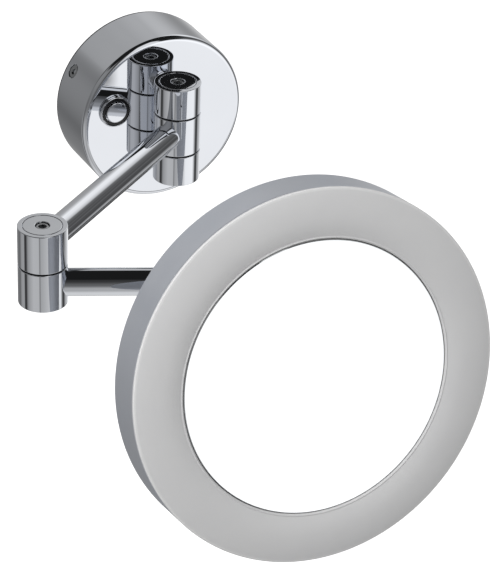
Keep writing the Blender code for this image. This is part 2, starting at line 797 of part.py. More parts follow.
def build_pivot_hardware(prefix, frame, barrel_top, barrel_bottom):
    """The screw, disc, nut and spring washer that hold one pivot together."""
    build_pivot_screw(f"{prefix}_pivot_screw", frame, barrel_top, barrel_bottom)
    build_pivot_cap(f"{prefix}_pivot_cap", frame, barrel_top)
    build_pivot_nut(f"{prefix}_pivot_nut", frame, barrel_bottom)
    build_spring_washer(f"{prefix}_spring_washer", frame, barrel_bottom)


# ------------------------------------------------------------------- the post
def build_post(post):
    """The two end barrels, on stubs from the drum's face, and their pivot."""
    reach = BARREL_HEIGHT / 2 + BARREL_GAP + POST_END_HEIGHT / 2
    for side, sign, end in (("upper", 1, "top"), ("lower", -1, "bottom")):
        height = sign * reach
        barrel = build_barrel(f"post_{side}_barrel", post, POST_END_HEIGHT, height, end)
        add_stub(barrel, post, side, height)
    top = reach + POST_END_HEIGHT / 2
    build_pivot_hardware("base", post, top, -top)
    between = (BARREL_HEIGHT + BARREL_GAP) / 2
    build_friction_washer("base_friction_washer_upper", post, between)
    build_friction_washer("base_friction_washer_lower", post, -between)


def add_stub(barrel, post, side, height):
    """Join a round stub to a post barrel, with the screw's blind hole in it."""
    near = RECESS_RADIUS + REST_GAP
    far = POST_REACH - DRUM_DEPTH - REST_GAP
    where = (post, (0, 0, height), (-math.pi / 2, 0, 0))
    stub = rod_mesh(f"join_stub_{side}", STUB_RADIUS, near, far)
    join(barrel, add_cutter(f"join_stub_{side}", stub, *where))
    deep = far - POST_SCREW_GRIP - REST_GAP
    hole = rod_mesh(f"cut_stub_{side}", POST_SCREW_RADIUS + REST_GAP, deep, far + OVERCUT)
    cut(barrel, add_cutter(f"cut_stub_{side}", hole, *where))


# ----------------------------------------------------------------------- arms
def cut_pocket(barrel, frame, name, radius, height, rotation):
    """Cut the round pocket that takes a tube's or the stem's end."""
    mesh = rod_mesh(
        name, radius + REST_GAP, POCKET_RADIUS, BARREL_RADIUS + OVERCUT, BARREL_SEGMENTS
    )
    return cut(barrel, add_cutter(name, mesh, frame, (0, 0, height), rotation))


def build_arm(prefix, frame, elbow, length, inner_end):
    """An arm: its inner barrel, its tube and its outer barrel.

    frame is on the arm's own pivot with X along the arm, elbow is on the next
    pivot, and inner_end says whether the inner barrel takes a nut.
    """
    inner = build_barrel(
        f"{prefix}_inner_barrel", frame, BARREL_HEIGHT, 0, inner_end, bushed=True
    )
    along, back = (0, math.pi / 2, 0), (0, -math.pi / 2, 0)
    cut_pocket(inner, frame, f"cut_{prefix}_inner_pocket", TUBE_RADIUS, 0, along)

    end = POCKET_RADIUS + REST_GAP
    points = ring_profile(TUBE_RADIUS - TUBE_WALL, TUBE_RADIUS, end, length - end)
    where = {"rotation": along}
    turned(f"{prefix}_tube", points, CHROME, frame, BARREL_SEGMENTS, **where)

    outer = build_barrel(f"{prefix}_outer_barrel", elbow, BARREL_HEIGHT, 0, "top")
    cut_pocket(outer, elbow, f"cut_{prefix}_outer_pocket", TUBE_RADIUS, 0, back)


def build_lower_bush(name, frame):
    """Bush of a barrel that has a nut in its lower end."""
    low = -BARREL_HEIGHT / 2 + nut_well_depth() + REST_GAP
    return build_bush(name, frame, low, BARREL_HEIGHT / 2 - BUSH_INSET)


def build_arm_1(frame, elbow):
    """First arm, which swings on the post, and the elbow's fixings."""
    build_arm("arm_1", frame, elbow, ARM_1_LENGTH, "")
    half = BARREL_HEIGHT / 2 - BUSH_INSET
    build_bush("base_bush", frame, -half, half)
    top = BARREL_HEIGHT / 2
    build_pivot_hardware("elbow", elbow, top, top - 2 * BARREL_HEIGHT - BARREL_GAP)
    build_friction_washer("elbow_friction_washer", elbow, -BARREL_PITCH / 2)


def build_arm_2(frame, wrist):
    """Second arm, which swings under the first, and the swivel's fixings."""
    build_arm("arm_2", frame, wrist, ARM_2_LENGTH, "bottom")
    build_lower_bush("elbow_bush", frame)
    top = BARREL_HEIGHT / 2
    build_pivot_hardware("swivel", wrist, top, top - 2 * BARREL_HEIGHT - BARREL_GAP)
    build_friction_washer("swivel_friction_washer", wrist, -BARREL_PITCH / 2)


# ----------------------------------------------------------------------- yoke
def build_yoke(frame, stem_axis):
    """The turning barrel behind the head, its bush, and the stem with its eye."""
    barrel = build_barrel("yoke_barrel", frame, BARREL_HEIGHT, 0, "bottom", bushed=True)
    forward = (math.pi / 2, 0, 0)
    cut_pocket(barrel, frame, "cut_stem_pocket", STEM_RADIUS, 0, forward)
    build_lower_bush("swivel_bush", frame)

    start = POCKET_RADIUS + REST_GAP
    neck_start = STEM_LENGTH - STEM_NECK_LENGTH
    rod = rod_mesh("yoke_stem", STEM_RADIUS, start, neck_start, BARREL_SEGMENTS)
    stem = add_part("yoke_stem", rod, CHROME, stem_axis)
    overlap = EAR_GAP
    neck_size = (EYE_WIDTH, 2 * STEM_RADIUS - 2 * EAR_GAP, STEM_NECK_LENGTH + overlap)
    neck_centre = (0, 0, neck_start + (STEM_NECK_LENGTH - overlap) / 2)
    neck = box_mesh("join_neck", neck_size, neck_centre)
    join(stem, add_cutter("join_neck", neck, stem_axis))
    across = ((0, 0, STEM_LENGTH), (0, math.pi / 2, 0))
    half = EYE_WIDTH / 2
    eye = rod_mesh("join_eye", EYE_RADIUS, -half, half, BARREL_SEGMENTS)
    join(stem, add_cutter("join_eye", eye, stem_axis, *across))
    hole = rod_mesh("cut_eye", TILT_PIN_RADIUS + RUN_GAP, -half - OVERCUT, half + OVERCUT)
    cut(stem, add_cutter("cut_eye", hole, stem_axis, *across))


# ----------------------------------------------------------------- tilt joint
def foot_screw_places():
    """Name, X and Y of each screw that holds the bracket to the head."""
    places = []
    for i in range(FOOT_SCREW_COUNT):
        angle = math.pi / 2 + math.tau * i / FOOT_SCREW_COUNT
        x = FOOT_SCREW_CIRCLE * math.cos(angle)
        y = FOOT_SCREW_CIRCLE * math.sin(angle)
        places.append((f"{i + 1}", x, y))
    return places


def drill_foot_holes(target, head, low, high):
    """Cut the bracket screws' clearance holes through a piece."""
    for number, x, y in foot_screw_places():
        name = f"cut_{target.name}_{number}"
        hole = rod_mesh(name, FOOT_SCREW_RADIUS + REST_GAP, low - OVERCUT, high + OVERCUT)
        cut(target, add_cutter(name, hole, head, (x, y, 0)))
    return target


def build_tilt_bracket(head):
    """Foot on the head's back with two ears that hold the stem's eye."""
    high = TILT_TO_HEAD - REST_GAP
    low = high - FOOT_THICKNESS
    foot = rod_mesh("tilt_bracket", FOOT_RADIUS, low, high, BARREL_SEGMENTS)
    bracket = add_part("tilt_bracket", foot, CHROME, head)
    across = (0, math.pi / 2, 0)
    ear_middle = EYE_WIDTH / 2 + EAR_GAP + EAR_WIDTH / 2
    for side, sign in (("left", -1), ("right", 1)):
        x = sign * ear_middle
        size = (EAR_WIDTH, 2 * STEM_RADIUS, low + FOOT_THICKNESS / 2)
        web = box_mesh(f"join_web_{side}", size, (x, 0, size[2] / 2))
        join(bracket, add_cutter(f"join_web_{side}", web, head))
        half = EAR_WIDTH / 2
        ear = rod_mesh(f"join_ear_{side}", EYE_RADIUS, -half, half, BARREL_SEGMENTS)
        join(bracket, add_cutter(f"join_ear_{side}", ear, head, (x, 0, 0), across))
    reach = ear_middle + EAR_WIDTH
    hole = rod_mesh("cut_ears", TILT_PIN_RADIUS + RUN_GAP, -reach, reach)
    cut(bracket, add_cutter("cut_ears", hole, head, (0, 0, 0), across))
    return drill_foot_holes(bracket, head, low, high)


def build_tilt_pin(head):
    """Cross pin with its nut, and the washers each side of the eye."""
    across = {"rotation": (0, math.pi / 2, 0)}
    outside = EYE_WIDTH / 2 + EAR_GAP + EAR_WIDTH + REST_GAP
    tip = -outside - TILT_NUT_THICKNESS
    points = [
        (0, outside + TILT_HEAD_HEIGHT),
        (TILT_HEAD_RADIUS, outside + TILT_HEAD_HEIGHT),
        (TILT_HEAD_RADIUS, outside),
        (TILT_PIN_RADIUS, outside),
        (TILT_PIN_RADIUS, tip),
        (0, tip),
    ]
    turned("tilt_pin", points, STEEL, head, PIN_SEGMENTS, **across)
    nut_mesh = hexagon_mesh("tilt_nut", TILT_NUT_FLATS, tip, -outside)
    nut = add_part("tilt_nut", nut_mesh, STEEL, head, **across)
    hole = rod_mesh("cut_tilt_nut", TILT_PIN_RADIUS + REST_GAP, tip - OVERCUT, OVERCUT)
    cut(nut, add_cutter("cut_tilt_nut", hole, head, (0, 0, 0), across["rotation"]))
    half = WASHER_THICKNESS / 2
    middle = (EYE_WIDTH + EAR_GAP) / 2
    bore = TILT_PIN_RADIUS + RUN_GAP
    for side, sign in (("left", -1), ("right", 1)):
        x = sign * middle
        points = ring_profile(bore, EYE_RADIUS - REST_GAP, x - half, x + half)
        turned(f"tilt_washer_{side}", points, NYLON, head, PIN_SEGMENTS, **across)


def build_bracket_screws(head):
    """Screws through the bracket's foot and the housing into the head plate."""
    seat = TILT_TO_HEAD - 2 * REST_GAP - FOOT_THICKNESS
    tip = HEAD_BACK_INSIDE + REST_GAP + HEAD_PLATE_THICKNESS + REST_GAP
    points = [
        (0, tip),
        (FOOT_SCREW_RADIUS, tip),
        (FOOT_SCREW_RADIUS, seat),
        (FOOT_SCREW_HEAD_RADIUS, seat),
        (FOOT_SCREW_HEAD_RADIUS, seat - FOOT_SCREW_HEAD_HEIGHT),
        (0, seat - FOOT_SCREW_HEAD_HEIGHT),
    ]
    for number, x, y in foot_screw_places():
        where = {"location": (x, y, 0)}
        turned(f"bracket_screw_{number}", points, STEEL, head, PIN_SEGMENTS, **where)


# ----------------------------------------------------------------------- head
def build_housing(head):
    """Satin cup with a rounded rear edge; its mouth holds the lamp's parts."""
    corner_centre = (HEAD_RADIUS - HEAD_EDGE, TILT_TO_HEAD + HEAD_EDGE)
    points = [
        (0, HEAD_BACK_INSIDE),
        (HOUSING_INNER_RADIUS, HEAD_BACK_INSIDE),
        (HOUSING_INNER_RADIUS, HOUSING_RIM),
        (HEAD_RADIUS, HOUSING_RIM),
        *arc(corner_centre, HEAD_EDGE, 0, -math.pi / 2, 2),
        (0, TILT_TO_HEAD),
    ]
    housing = turned("head_housing", points, ALUMINIUM, head, DRUM_SEGMENTS)
    return drill_foot_holes(housing, head, TILT_TO_HEAD, HEAD_BACK_INSIDE)


def build_head_plate(head):
    """Threaded steel disc inside the housing that the bracket screws grip."""
    low = HEAD_BACK_INSIDE + REST_GAP
    high = low + HEAD_PLATE_THICKNESS
    disc = rod_mesh("head_plate", HEAD_PLATE_RADIUS, low, high, BARREL_SEGMENTS)
    return drill_foot_holes(add_part("head_plate", disc, STEEL, head), head, low, high)


def mirror_sag(radius):
    """Depth of the mirror's spherical hollow at a distance from its axis."""
    return MIRROR_CURVE - math.sqrt(MIRROR_CURVE**2 - radius**2)


def mirror_face(radius):
    """Height of the mirror's face at a distance from its axis."""
    return HEAD_FRONT - mirror_sag(MIRROR_RADIUS) + mirror_sag(radius)


def mirror_seat():
    """Height of the tray's top, just under the mirror's lowest point."""
    return mirror_face(0) - MIRROR_THICKNESS - REST_GAP


def build_mirror(head):
    """Magnifying glass, hollow in front and crowned behind."""
    radii = (0, MIRROR_RADIUS / 2, MIRROR_RADIUS)
    front = [(r, mirror_face(r)) for r in radii]
    back = [(r, mirror_face(r) - MIRROR_THICKNESS) for r in reversed(radii)]
    return turned("mirror_glass", front + back, SILVERED_GLASS, head, DRUM_SEGMENTS)


def build_mirror_seal(head):
    """Thin black ring round the mirror's edge, sunk below its face."""
    high = HEAD_FRONT - SEAL_SINK
    outer = SEAL_INNER_RADIUS + SEAL_WALL
    points = ring_profile(SEAL_INNER_RADIUS, outer, high - SEAL_DEPTH, high)
    return turned("mirror_seal", points, BLACK_RUBBER, head, DRUM_SEGMENTS)


def tray_floor():
    """Lower and upper height of the tray's flat rim."""
    low = HEAD_BACK_INSIDE + REST_GAP
    return low, low + TRAY_FLOOR


def build_tray(head):
    """White hat-shaped moulding that carries the mirror and the lamp board."""
    low, high = tray_floor()
    crown = mirror_seat()
    wall = MIRROR_RADIUS - TRAY_SKIN
    points = [
        (0, crown),
        (wall, crown),
        (wall, high),
        (DIFFUSER_OUTER_RADIUS, high),
        (DIFFUSER_OUTER_RADIUS, low),
        (wall - TRAY_SKIN, low),
        (wall - TRAY_SKIN, crown - TRAY_SKIN),
        (0, crown - TRAY_SKIN),
    ]
    return turned("mirror_tray", points, WHITE_PLASTIC, head, DRUM_SEGMENTS)


def build_led_board(head):
    """Ring-shaped lamp board on the tray's rim, with its lamps on it."""
    low = tray_floor()[1] + REST_GAP
    high = low + LED_BOARD_THICKNESS
    middle = (DIFFUSER_INNER_RADIUS + DIFFUSER_OUTER_RADIUS) / 2
    half = LED_BOARD_SHARE * SKIRT_SPACE / 2
    points = ring_profile(middle - half, middle + half, low, high)
    board = turned("led_board", points, CIRCUIT, head, DRUM_SEGMENTS)
    turns = [math.tau * (i + 0.5) / LED_COUNT for i in range(LED_COUNT)]
    size = (LED_SIZE[0], LED_SIZE[1], 2 * LED_SIZE[2])
    lamps = box_mesh("join_lamps", size, (middle, 0, high), turns)
    return join(board, add_cutter("join_lamps", lamps, head))


def build_diffuser(head):
    """Opal ring: a low dome from the glass to the head's edge, on two skirts."""
    inner, outer = DIFFUSER_INNER_RADIUS, DIFFUSER_OUTER_RADIUS
    first, last = DIFFUSER_LIP_RADIUS, HEAD_RADIUS
    middle = first + DIFFUSER_CROWN_SHARE * (last - first)

    def height(radius):
        edge = first if radius < middle else last
        share = (radius - middle) / (edge - middle)
        return HEAD_FRONT + DIFFUSER_RISE * (1 - share**2)

    radii = (first, (2 * first + middle) / 3, middle, (middle + last) / 2, last)
    crown = [(r, height(r)) for r in radii]
    skirt = HEAD_FRONT - DIFFUSER_SKIRT
    ceiling = HEAD_FRONT - DIFFUSER_SKIN
    flange = HEAD_FRONT - DIFFUSER_FLANGE
    lip = HEAD_FRONT - DIFFUSER_LIP
    points = crown + [
        (last, flange),
        (outer, flange),
        (outer, skirt),
        (outer - DIFFUSER_SKIN, skirt),
        (outer - DIFFUSER_SKIN, ceiling),
        (inner + DIFFUSER_SKIN, ceiling),
        (inner + DIFFUSER_SKIN, skirt),
        (inner, skirt),
        (inner, lip),
        (first, lip),
    ]
    return turned("diffuser_ring", points, OPAL, head, DRUM_SEGMENTS)


# ------------------------------------------------------------------- assembly
def shade_round_pieces():
    """Turn each piece into its finished mesh, smooth but for its hard edges."""
    bpy.context.view_layer.update()
    depsgraph = bpy.context.evaluated_depsgraph_get()
    pieces = [obj for obj in PARTS.objects if obj.type == "MESH"]
    finished = []
    for obj in pieces:
        mesh = bpy.data.meshes.new_from_object(obj.evaluated_get(depsgraph))
        mesh.name = obj.name
        mesh.shade_smooth()
        mesh.set_sharp_from_angle(angle=SMOOTH_ANGLE)
        finished.append(mesh)
    for obj, mesh in zip(pieces, finished):
        obj.modifiers.clear()
        obj.data = mesh


def build_base():
    """Everything that stays on the wall, the button's cap included."""
    base = frame_empty("base_frame", None, (0, 0, 0), (math.pi / 2, 0, 0))
    grub_turn = (0, math.pi / 2, GRUB_ANGLE)
    grub_axis = frame_empty("grub_axis", base, (0, 0, GRUB_DEPTH), grub_turn)
    build_wall_plate(base, grub_axis)
    build_grommet(base)
    build_gasket(base)
    build_cover(base, grub_axis)
    build_grub_screw(grub_axis)
    build_post_bracket(base)
    build_post_screws(base)
    build_electrics(base)
    build_button(base)


def build_head(head):
    """Everything that tilts with the mirror."""
    build_tilt_bracket(head)
    build_tilt_pin(head)
    build_bracket_screws(head)
    build_housing(head)
    build_head_plate(head)
    build_tray(head)
    build_led_board(head)
    build_diffuser(head)
    build_mirror_seal(head)
    build_mirror(head)


def main():
    """Build the base, then each frame of the arm in turn, out to the head."""
    build_base()
    post = frame_empty("post_axis", None, (0, -POST_REACH, ARM_RISE))
    build_post(post)

    arm_1 = frame_empty("arm_1_axis", post, (0, 0, 0), (0, 0, ARM_1_ANGLE))
    elbow = frame_empty("elbow_axis", arm_1, (ARM_1_LENGTH, 0, 0))
    build_arm_1(arm_1, elbow)

    turn = ARM_2_ANGLE - ARM_1_ANGLE
    arm_2 = frame_empty("arm_2_axis", elbow, (0, 0, -BARREL_PITCH), (0, 0, turn))
    wrist = frame_empty("wrist_axis", arm_2, (ARM_2_LENGTH, 0, 0))
    build_arm_2(arm_2, wrist)

    turn = HEAD_YAW - ARM_2_ANGLE
    yoke = frame_empty("swivel_axis", wrist, (0, 0, -BARREL_PITCH), (0, 0, turn))
    stem_axis = frame_empty("stem_axis", yoke, (0, 0, 0), (math.pi / 2, 0, 0))
    build_yoke(yoke, stem_axis)

    lean = math.pi / 2 - HEAD_TILT
    head = frame_empty("tilt_axis", yoke, (0, -STEM_LENGTH, 0), (lean, 0, 0))
    build_head(head)
    shade_round_pieces()


clear_scene()
PARTS = make_collection("extendable_mirror")
CUTTERS = make_collection("cutters")
main()
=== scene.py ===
"""Extendable lit shaving mirror: its finished surfaces, finishes and studio.

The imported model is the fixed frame. Each visible piece of it is replaced by a
finer surface of the same size, worked out from a formula, and the hidden ones
keep their shape and get a finish. Lengths in this file are in millimetres and
become metres when a mesh is made. The object's frame has +Z up, the wall is
the plane Y = 0 and the object stands out along -Y.
"""

import json
import logging
import math
from dataclasses import dataclass, field
from enum import Enum

import bmesh
import bpy
import numpy as np
from mathutils import Matrix

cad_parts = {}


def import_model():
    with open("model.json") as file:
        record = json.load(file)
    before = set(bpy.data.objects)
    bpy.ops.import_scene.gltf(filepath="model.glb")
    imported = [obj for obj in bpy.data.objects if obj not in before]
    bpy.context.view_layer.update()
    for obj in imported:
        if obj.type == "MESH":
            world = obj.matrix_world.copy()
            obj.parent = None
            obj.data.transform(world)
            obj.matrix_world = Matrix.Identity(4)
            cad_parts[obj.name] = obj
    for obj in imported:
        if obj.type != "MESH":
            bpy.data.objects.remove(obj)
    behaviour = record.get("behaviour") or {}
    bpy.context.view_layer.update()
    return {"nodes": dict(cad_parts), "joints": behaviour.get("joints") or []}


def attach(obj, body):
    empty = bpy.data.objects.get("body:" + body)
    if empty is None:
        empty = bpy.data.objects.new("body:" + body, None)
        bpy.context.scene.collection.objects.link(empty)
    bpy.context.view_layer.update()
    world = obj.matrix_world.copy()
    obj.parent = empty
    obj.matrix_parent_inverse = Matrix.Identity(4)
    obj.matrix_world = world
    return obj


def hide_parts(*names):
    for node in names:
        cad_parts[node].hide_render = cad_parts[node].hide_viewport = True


LOG = logging.getLogger("shaving_mirror")

MM = 0.001
TURN = 2 * math.pi
HOLD = 0.05  # distance from a rounded edge to the row that keeps the flat beside it flat
TIP = 0.05  # half the depth of the last section of a bar with a round end
SHARP_ANGLE = math.radians(32)
AXIS_NOTE = "from_axis"  # each point's distance from its piece's axis, and its height
HEAD_TILT_DEG = 12.0


# ------------------------------------------------------------------- geometry
@dataclass(frozen=True)
class Seat:
    """A local frame: its origin, and its X, Y and Z as rows, in the object's frame."""

    origin: tuple[float, float, float]
    axes: tuple[tuple[float, float, float], ...]

    def place(self, points: np.ndarray) -> np.ndarray:
        """Carry local points to the object's frame.

        Args:
            points: an array whose last axis holds local X, Y and Z.

        Returns:
            An array of the same shape: origin + points @ axes.
        """
        return np.asarray(self.origin) + points @ np.asarray(self.axes)

    def moved(self, offset: tuple[float, float, float]) -> "Seat":
        """Return a parallel seat whose origin is at a local offset."""
        return Seat(tuple(self.place(np.asarray(offset, float))), self.axes)

    def turned(self, order: tuple[int, int, int], signs: tuple[int, int, int]) -> "Seat":
        """Return a seat at the same origin with its axes reordered.

        Args:
            order: which old axis each new one is.
            signs: 1, or -1 where the new axis points the other way.

        Returns:
            The new seat.
        """
        axes = np.asarray(self.axes)[list(order)] * np.asarray(signs)[:, None]
        return Seat(self.origin, tuple(map(tuple, axes)))

    def spun(self, angle: float) -> "Seat":
        """Return a seat at the same origin, turned about its own Z.

        Args:
            angle: the turn, in radians.

        Returns:
            The new seat.
        """
        x, y, z = np.asarray(self.axes)
        cosine, sine = math.cos(angle), math.sin(angle)
        rows = (cosine * x + sine * y, cosine * y - sine * x, z)
        return Seat(self.origin, tuple(map(tuple, rows)))


def plan_seat(origin: tuple[float, float, float], heading: float) -> Seat:
    """Return an upright seat whose X points along a heading, seen from above.

    Args:
        origin: its place in millimetres.
        heading: the angle from the object's X to the seat's X, in radians.

    Returns:
        The seat, with Z up.
    """
    cosine, sine = math.cos(heading), math.sin(heading)
    return Seat(origin, ((cosine, sine, 0.0), (-sine, cosine, 0.0), (0.0, 0.0, 1.0)))


@dataclass
class Grid:
    """A surface: its points, and the quads between them as rows of indices."""

    points: np.ndarray
    quads: np.ndarray

    def joined(self, other: "Grid") -> "Grid":
        """Return one grid with the points and quads of both."""
        quads = np.concatenate([self.quads, other.quads + len(self.points)])
        return Grid(np.concatenate([self.points, other.points]), quads)


def grid_of(rows: np.ndarray, keep: np.ndarray | None = None) -> Grid:
    """Join an array of points into quads, closed round its second axis.

    Args:
        rows: points of shape (rows, around, 3).
        keep: which quads to keep, of shape (rows - 1, around).

    Returns:
        The grid.
    """
    count, around = rows.shape[:2]
    first = np.arange(count - 1)[:, None] * around + np.arange(around)[None, :]
    beside = np.roll(first, -1, axis=1)
    quads = np.stack([first, beside, beside + around, first + around], axis=-1)
    kept = quads.reshape(-1, 4) if keep is None else quads[keep]
    return Grid(rows.reshape(-1, 3), kept)


def unit(vectors: np.ndarray) -> np.ndarray:
    """Return vectors at length 1; one with no length stays as it is."""
    length = np.linalg.norm(vectors, axis=-1, keepdims=True)
    return vectors / np.where(length > 0, length, 1)


def soften(
    corners: list[tuple[float, float]],
    radius: float | list[float],
    steps: int = 5,
    closed: bool = False,
) -> np.ndarray:
    """Round each corner of a profile with a true arc.

    A corner C with edge directions a and b and inside angle 2h becomes the
    rational curve ((1-s)^2 (C+ta) + 2s(1-s) sin(h) C + s^2 (C+tb)) / the same
    weights, with t = radius / tan(h): a circular arc. A point on each edge,
    HOLD beyond the arc, keeps the rest of that edge straight to the eye.

    Args:
        corners: the profile's corners.
        radius: one radius, or one for each corner.
        steps: pieces in each arc.
        closed: whether the last corner joins the first.

    Returns:
        Points of shape (n, 2).
    """
    corner = np.asarray(corners, float)
    radii = np.broadcast_to(np.asarray(radius, float), len(corner))
    back = unit(np.roll(corner, 1, axis=0) - corner)
    ahead = unit(np.roll(corner, -1, axis=0) - corner)
    half = np.arccos(np.clip((back * ahead).sum(axis=1), -1, 1)) / 2
    reach = (radii / np.tan(np.maximum(half, 0.01)))[:, None]
    share = np.linspace(0, 1, steps + 1)[None, :, None]
    weight = np.sin(half)[:, None, None]
    start, end = corner + back * reach, corner + ahead * reach
    blend = (1 - share) ** 2, 2 * share * (1 - share) * weight, share**2
    arcs = blend[0] * start[:, None] + blend[1] * corner[:, None] + blend[2] * end[:, None]
    arcs = arcs / (blend[0] + blend[1] + blend[2])
    lead = (start + back * HOLD)[:, None]
    trail = (end + ahead * HOLD)[:, None]
    rows = np.concatenate([lead, arcs, trail], axis=1)
    if closed:
        loop = rows.reshape(-1, 2)
        return np.concatenate([loop, loop[:1]])
    return np.concatenate([corner[:1], rows[1:-1].reshape(-1, 2), corner[-1:]])


def turned(profile: np.ndarray, around: int, hexed: np.ndarray | None = None) -> np.ndarray:
    """Carry a profile of (radius, height) once round Z.

    P(u, v) = (k r(u) cos v, k r(u) sin v, z(u)). k is 1 on round rows. On a
    hexagonal row r is half the width across flats and
    k = 1 / cos(v mod 60 deg - 30 deg).

    Args:
        profile: points of shape (rows, 2).
        around: samples round the axis.
        hexed: for each row, 0 for round and 1 for hexagonal.

    Returns:
        Points of shape (rows, around, 3).
    """
    angle = np.arange(around) * TURN / around
    stretch = np.ones((len(profile), around))
    if hexed is not None:
        sixth = TURN / 6
        flats = 1 / np.cos(np.mod(angle, sixth) - sixth / 2)
        stretch = 1 + hexed[:, None] * (flats[None, :] - 1)
    radius = profile[:, :1] * stretch
    height = np.broadcast_to(profile[:, 1:], radius.shape)
    return np.stack([radius * np.cos(angle), radius * np.sin(angle), height], axis=-1)


def lofted(
    along: np.ndarray, half_x: np.ndarray, half_y: np.ndarray, power: np.ndarray, around: int
) -> np.ndarray:
    """Carry a section that changes from round to rounded square along Z.

    P(u, v) = (a(u) |cos v|^(2/n) sign cos v, b(u) |sin v|^(2/n) sign sin v,
    z(u)): a circle or an ellipse for n = 2, squarer as n grows.

    Args:
        along: the stations' heights.
        half_x: half the section's width at each station.
        half_y: half its depth.
        power: the exponent n at each station.
        around: samples round the section.

    Returns:
        Points of shape (stations, around, 3).
    """
    angle = np.arange(around) * TURN / around
    share = 2 / power[:, None]
    x = half_x[:, None] * np.sign(np.cos(angle)) * np.abs(np.cos(angle)) ** share
    y = half_y[:, None] * np.sign(np.sin(angle)) * np.abs(np.sin(angle)) ** share
    return np.stack([x, y, np.broadcast_to(along[:, None], x.shape)], axis=-1)


def capped(rows: np.ndarray) -> np.ndarray:
    """Close a tube of rows with a point at the middle of each end."""
    ends = [np.broadcast_to(row.mean(axis=0), row.shape)[None] for row in (rows[0], rows[-1])]
    return np.concatenate([ends[0], rows, ends[1]])


def note_axis(mesh: bpy.types.Mesh, seat: Seat) -> None:
    """Write each point's distance from the seat's Z, 0, and its height, in metres.

    Args:
        mesh: the finished mesh.
        seat: the seat that it was made on.
    """
    points = np.empty(len(mesh.vertices) * 3)
    mesh.vertices.foreach_get("co", points)
    local = (points.reshape(-1, 3) - np.asarray(seat.origin) * MM) @ np.asarray(seat.axes).T
    radius = np.hypot(local[:, 0], local[:, 1])
    note = np.stack([radius, np.zeros(len(local)), local[:, 2]], axis=1)
    made = mesh.attributes.new(AXIS_NOTE, "FLOAT_VECTOR", "POINT")
    made.data.foreach_set("vector", note.ravel())


def make_piece(
    name: str,
    grid: Grid,
    seat: Seat,
    finish: "Finish",
    body: str,
    nodes: tuple[str, ...],
    sharp: float = SHARP_ANGLE,
) -> bpy.types.Object:
    """Make a closed, outward piece from a grid and put it on its body.

    Args:
        name: the piece's name.
        grid: its surface in local millimetres.
        seat: where it sits.
        finish: what it is made of.
        body: the body that it moves with.
        nodes: the plain solids that it stands for.
        sharp: edges that turn more than this are creased.

    Returns:
        The piece, with its place in its mesh.
    """
    mesh = bpy.data.meshes.new(name)
    mesh.from_pydata((seat.place(grid.points) * MM).tolist(), [], grid.quads.tolist())
    shell = bmesh.new()
    shell.from_mesh(mesh)
    bmesh.ops.remove_doubles(shell, verts=shell.verts, dist=0.0005 * MM)
    bmesh.ops.recalc_face_normals(shell, faces=shell.faces)
    shell.to_mesh(mesh)
    shell.free()
    note_axis(mesh, seat)
    mesh.shade_smooth()
    mesh.set_sharp_from_angle(angle=sharp)
    piece = bpy.data.objects.new(name, mesh)
    bpy.context.scene.collection.objects.link(piece)
    mesh.materials.append(finish.material())
    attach(piece, body)
    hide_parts(*nodes)
    LOG.info("%s: %s, moves with %s", name, finish.name, body)
    return piece


# ------------------------------------------------------------------- finishes
def linear(code: str) -> tuple[float, float, float, float]:
    """Turn an sRGB hex colour into linear red, green, blue and alpha 1.

    Args:
        code: six hex digits.

    Returns:
        Each channel c as c / 12.92 up to 0.04045, else ((c + 0.055) / 1.055)^2.4.
    """
    channels = np.array([int(code[i : i + 2], 16) / 255 for i in (0, 2, 4)])
    curved = ((channels + 0.055) / 1.055) ** 2.4
    return (*np.where(channels <= 0.04045, channels / 12.92, curved).tolist(), 1.0)


def add_node(
    tree: bpy.types.NodeTree, kind: str, settings: dict | None = None, inputs: dict | None = None
) -> bpy.types.Node:
    """Add a node, set its properties, and fill or link its inputs.

    Args:
        tree: the node tree.
        kind: the node's type name.
        settings: property names and values.
        inputs: input names or numbers, each with a value or a socket to link.

    Returns:
        The node.
    """
    made = tree.nodes.new(kind)
    for key, value in (settings or {}).items():
        setattr(made, key, value)
    for key, value in (inputs or {}).items():
        if isinstance(value, bpy.types.NodeSocket):
            tree.links.new(value, made.inputs[key])
        else:
            made.inputs[key].default_value = value
    return made


class Pattern(Enum):
    """How a finish's fine marks lie."""

    GRAIN = "even grain, as left by polishing, casting or blasting"
    RINGS = "fine circles round the head's axis, as left by spinning"
    CRAZED = "small cells, as on galvanised steel"


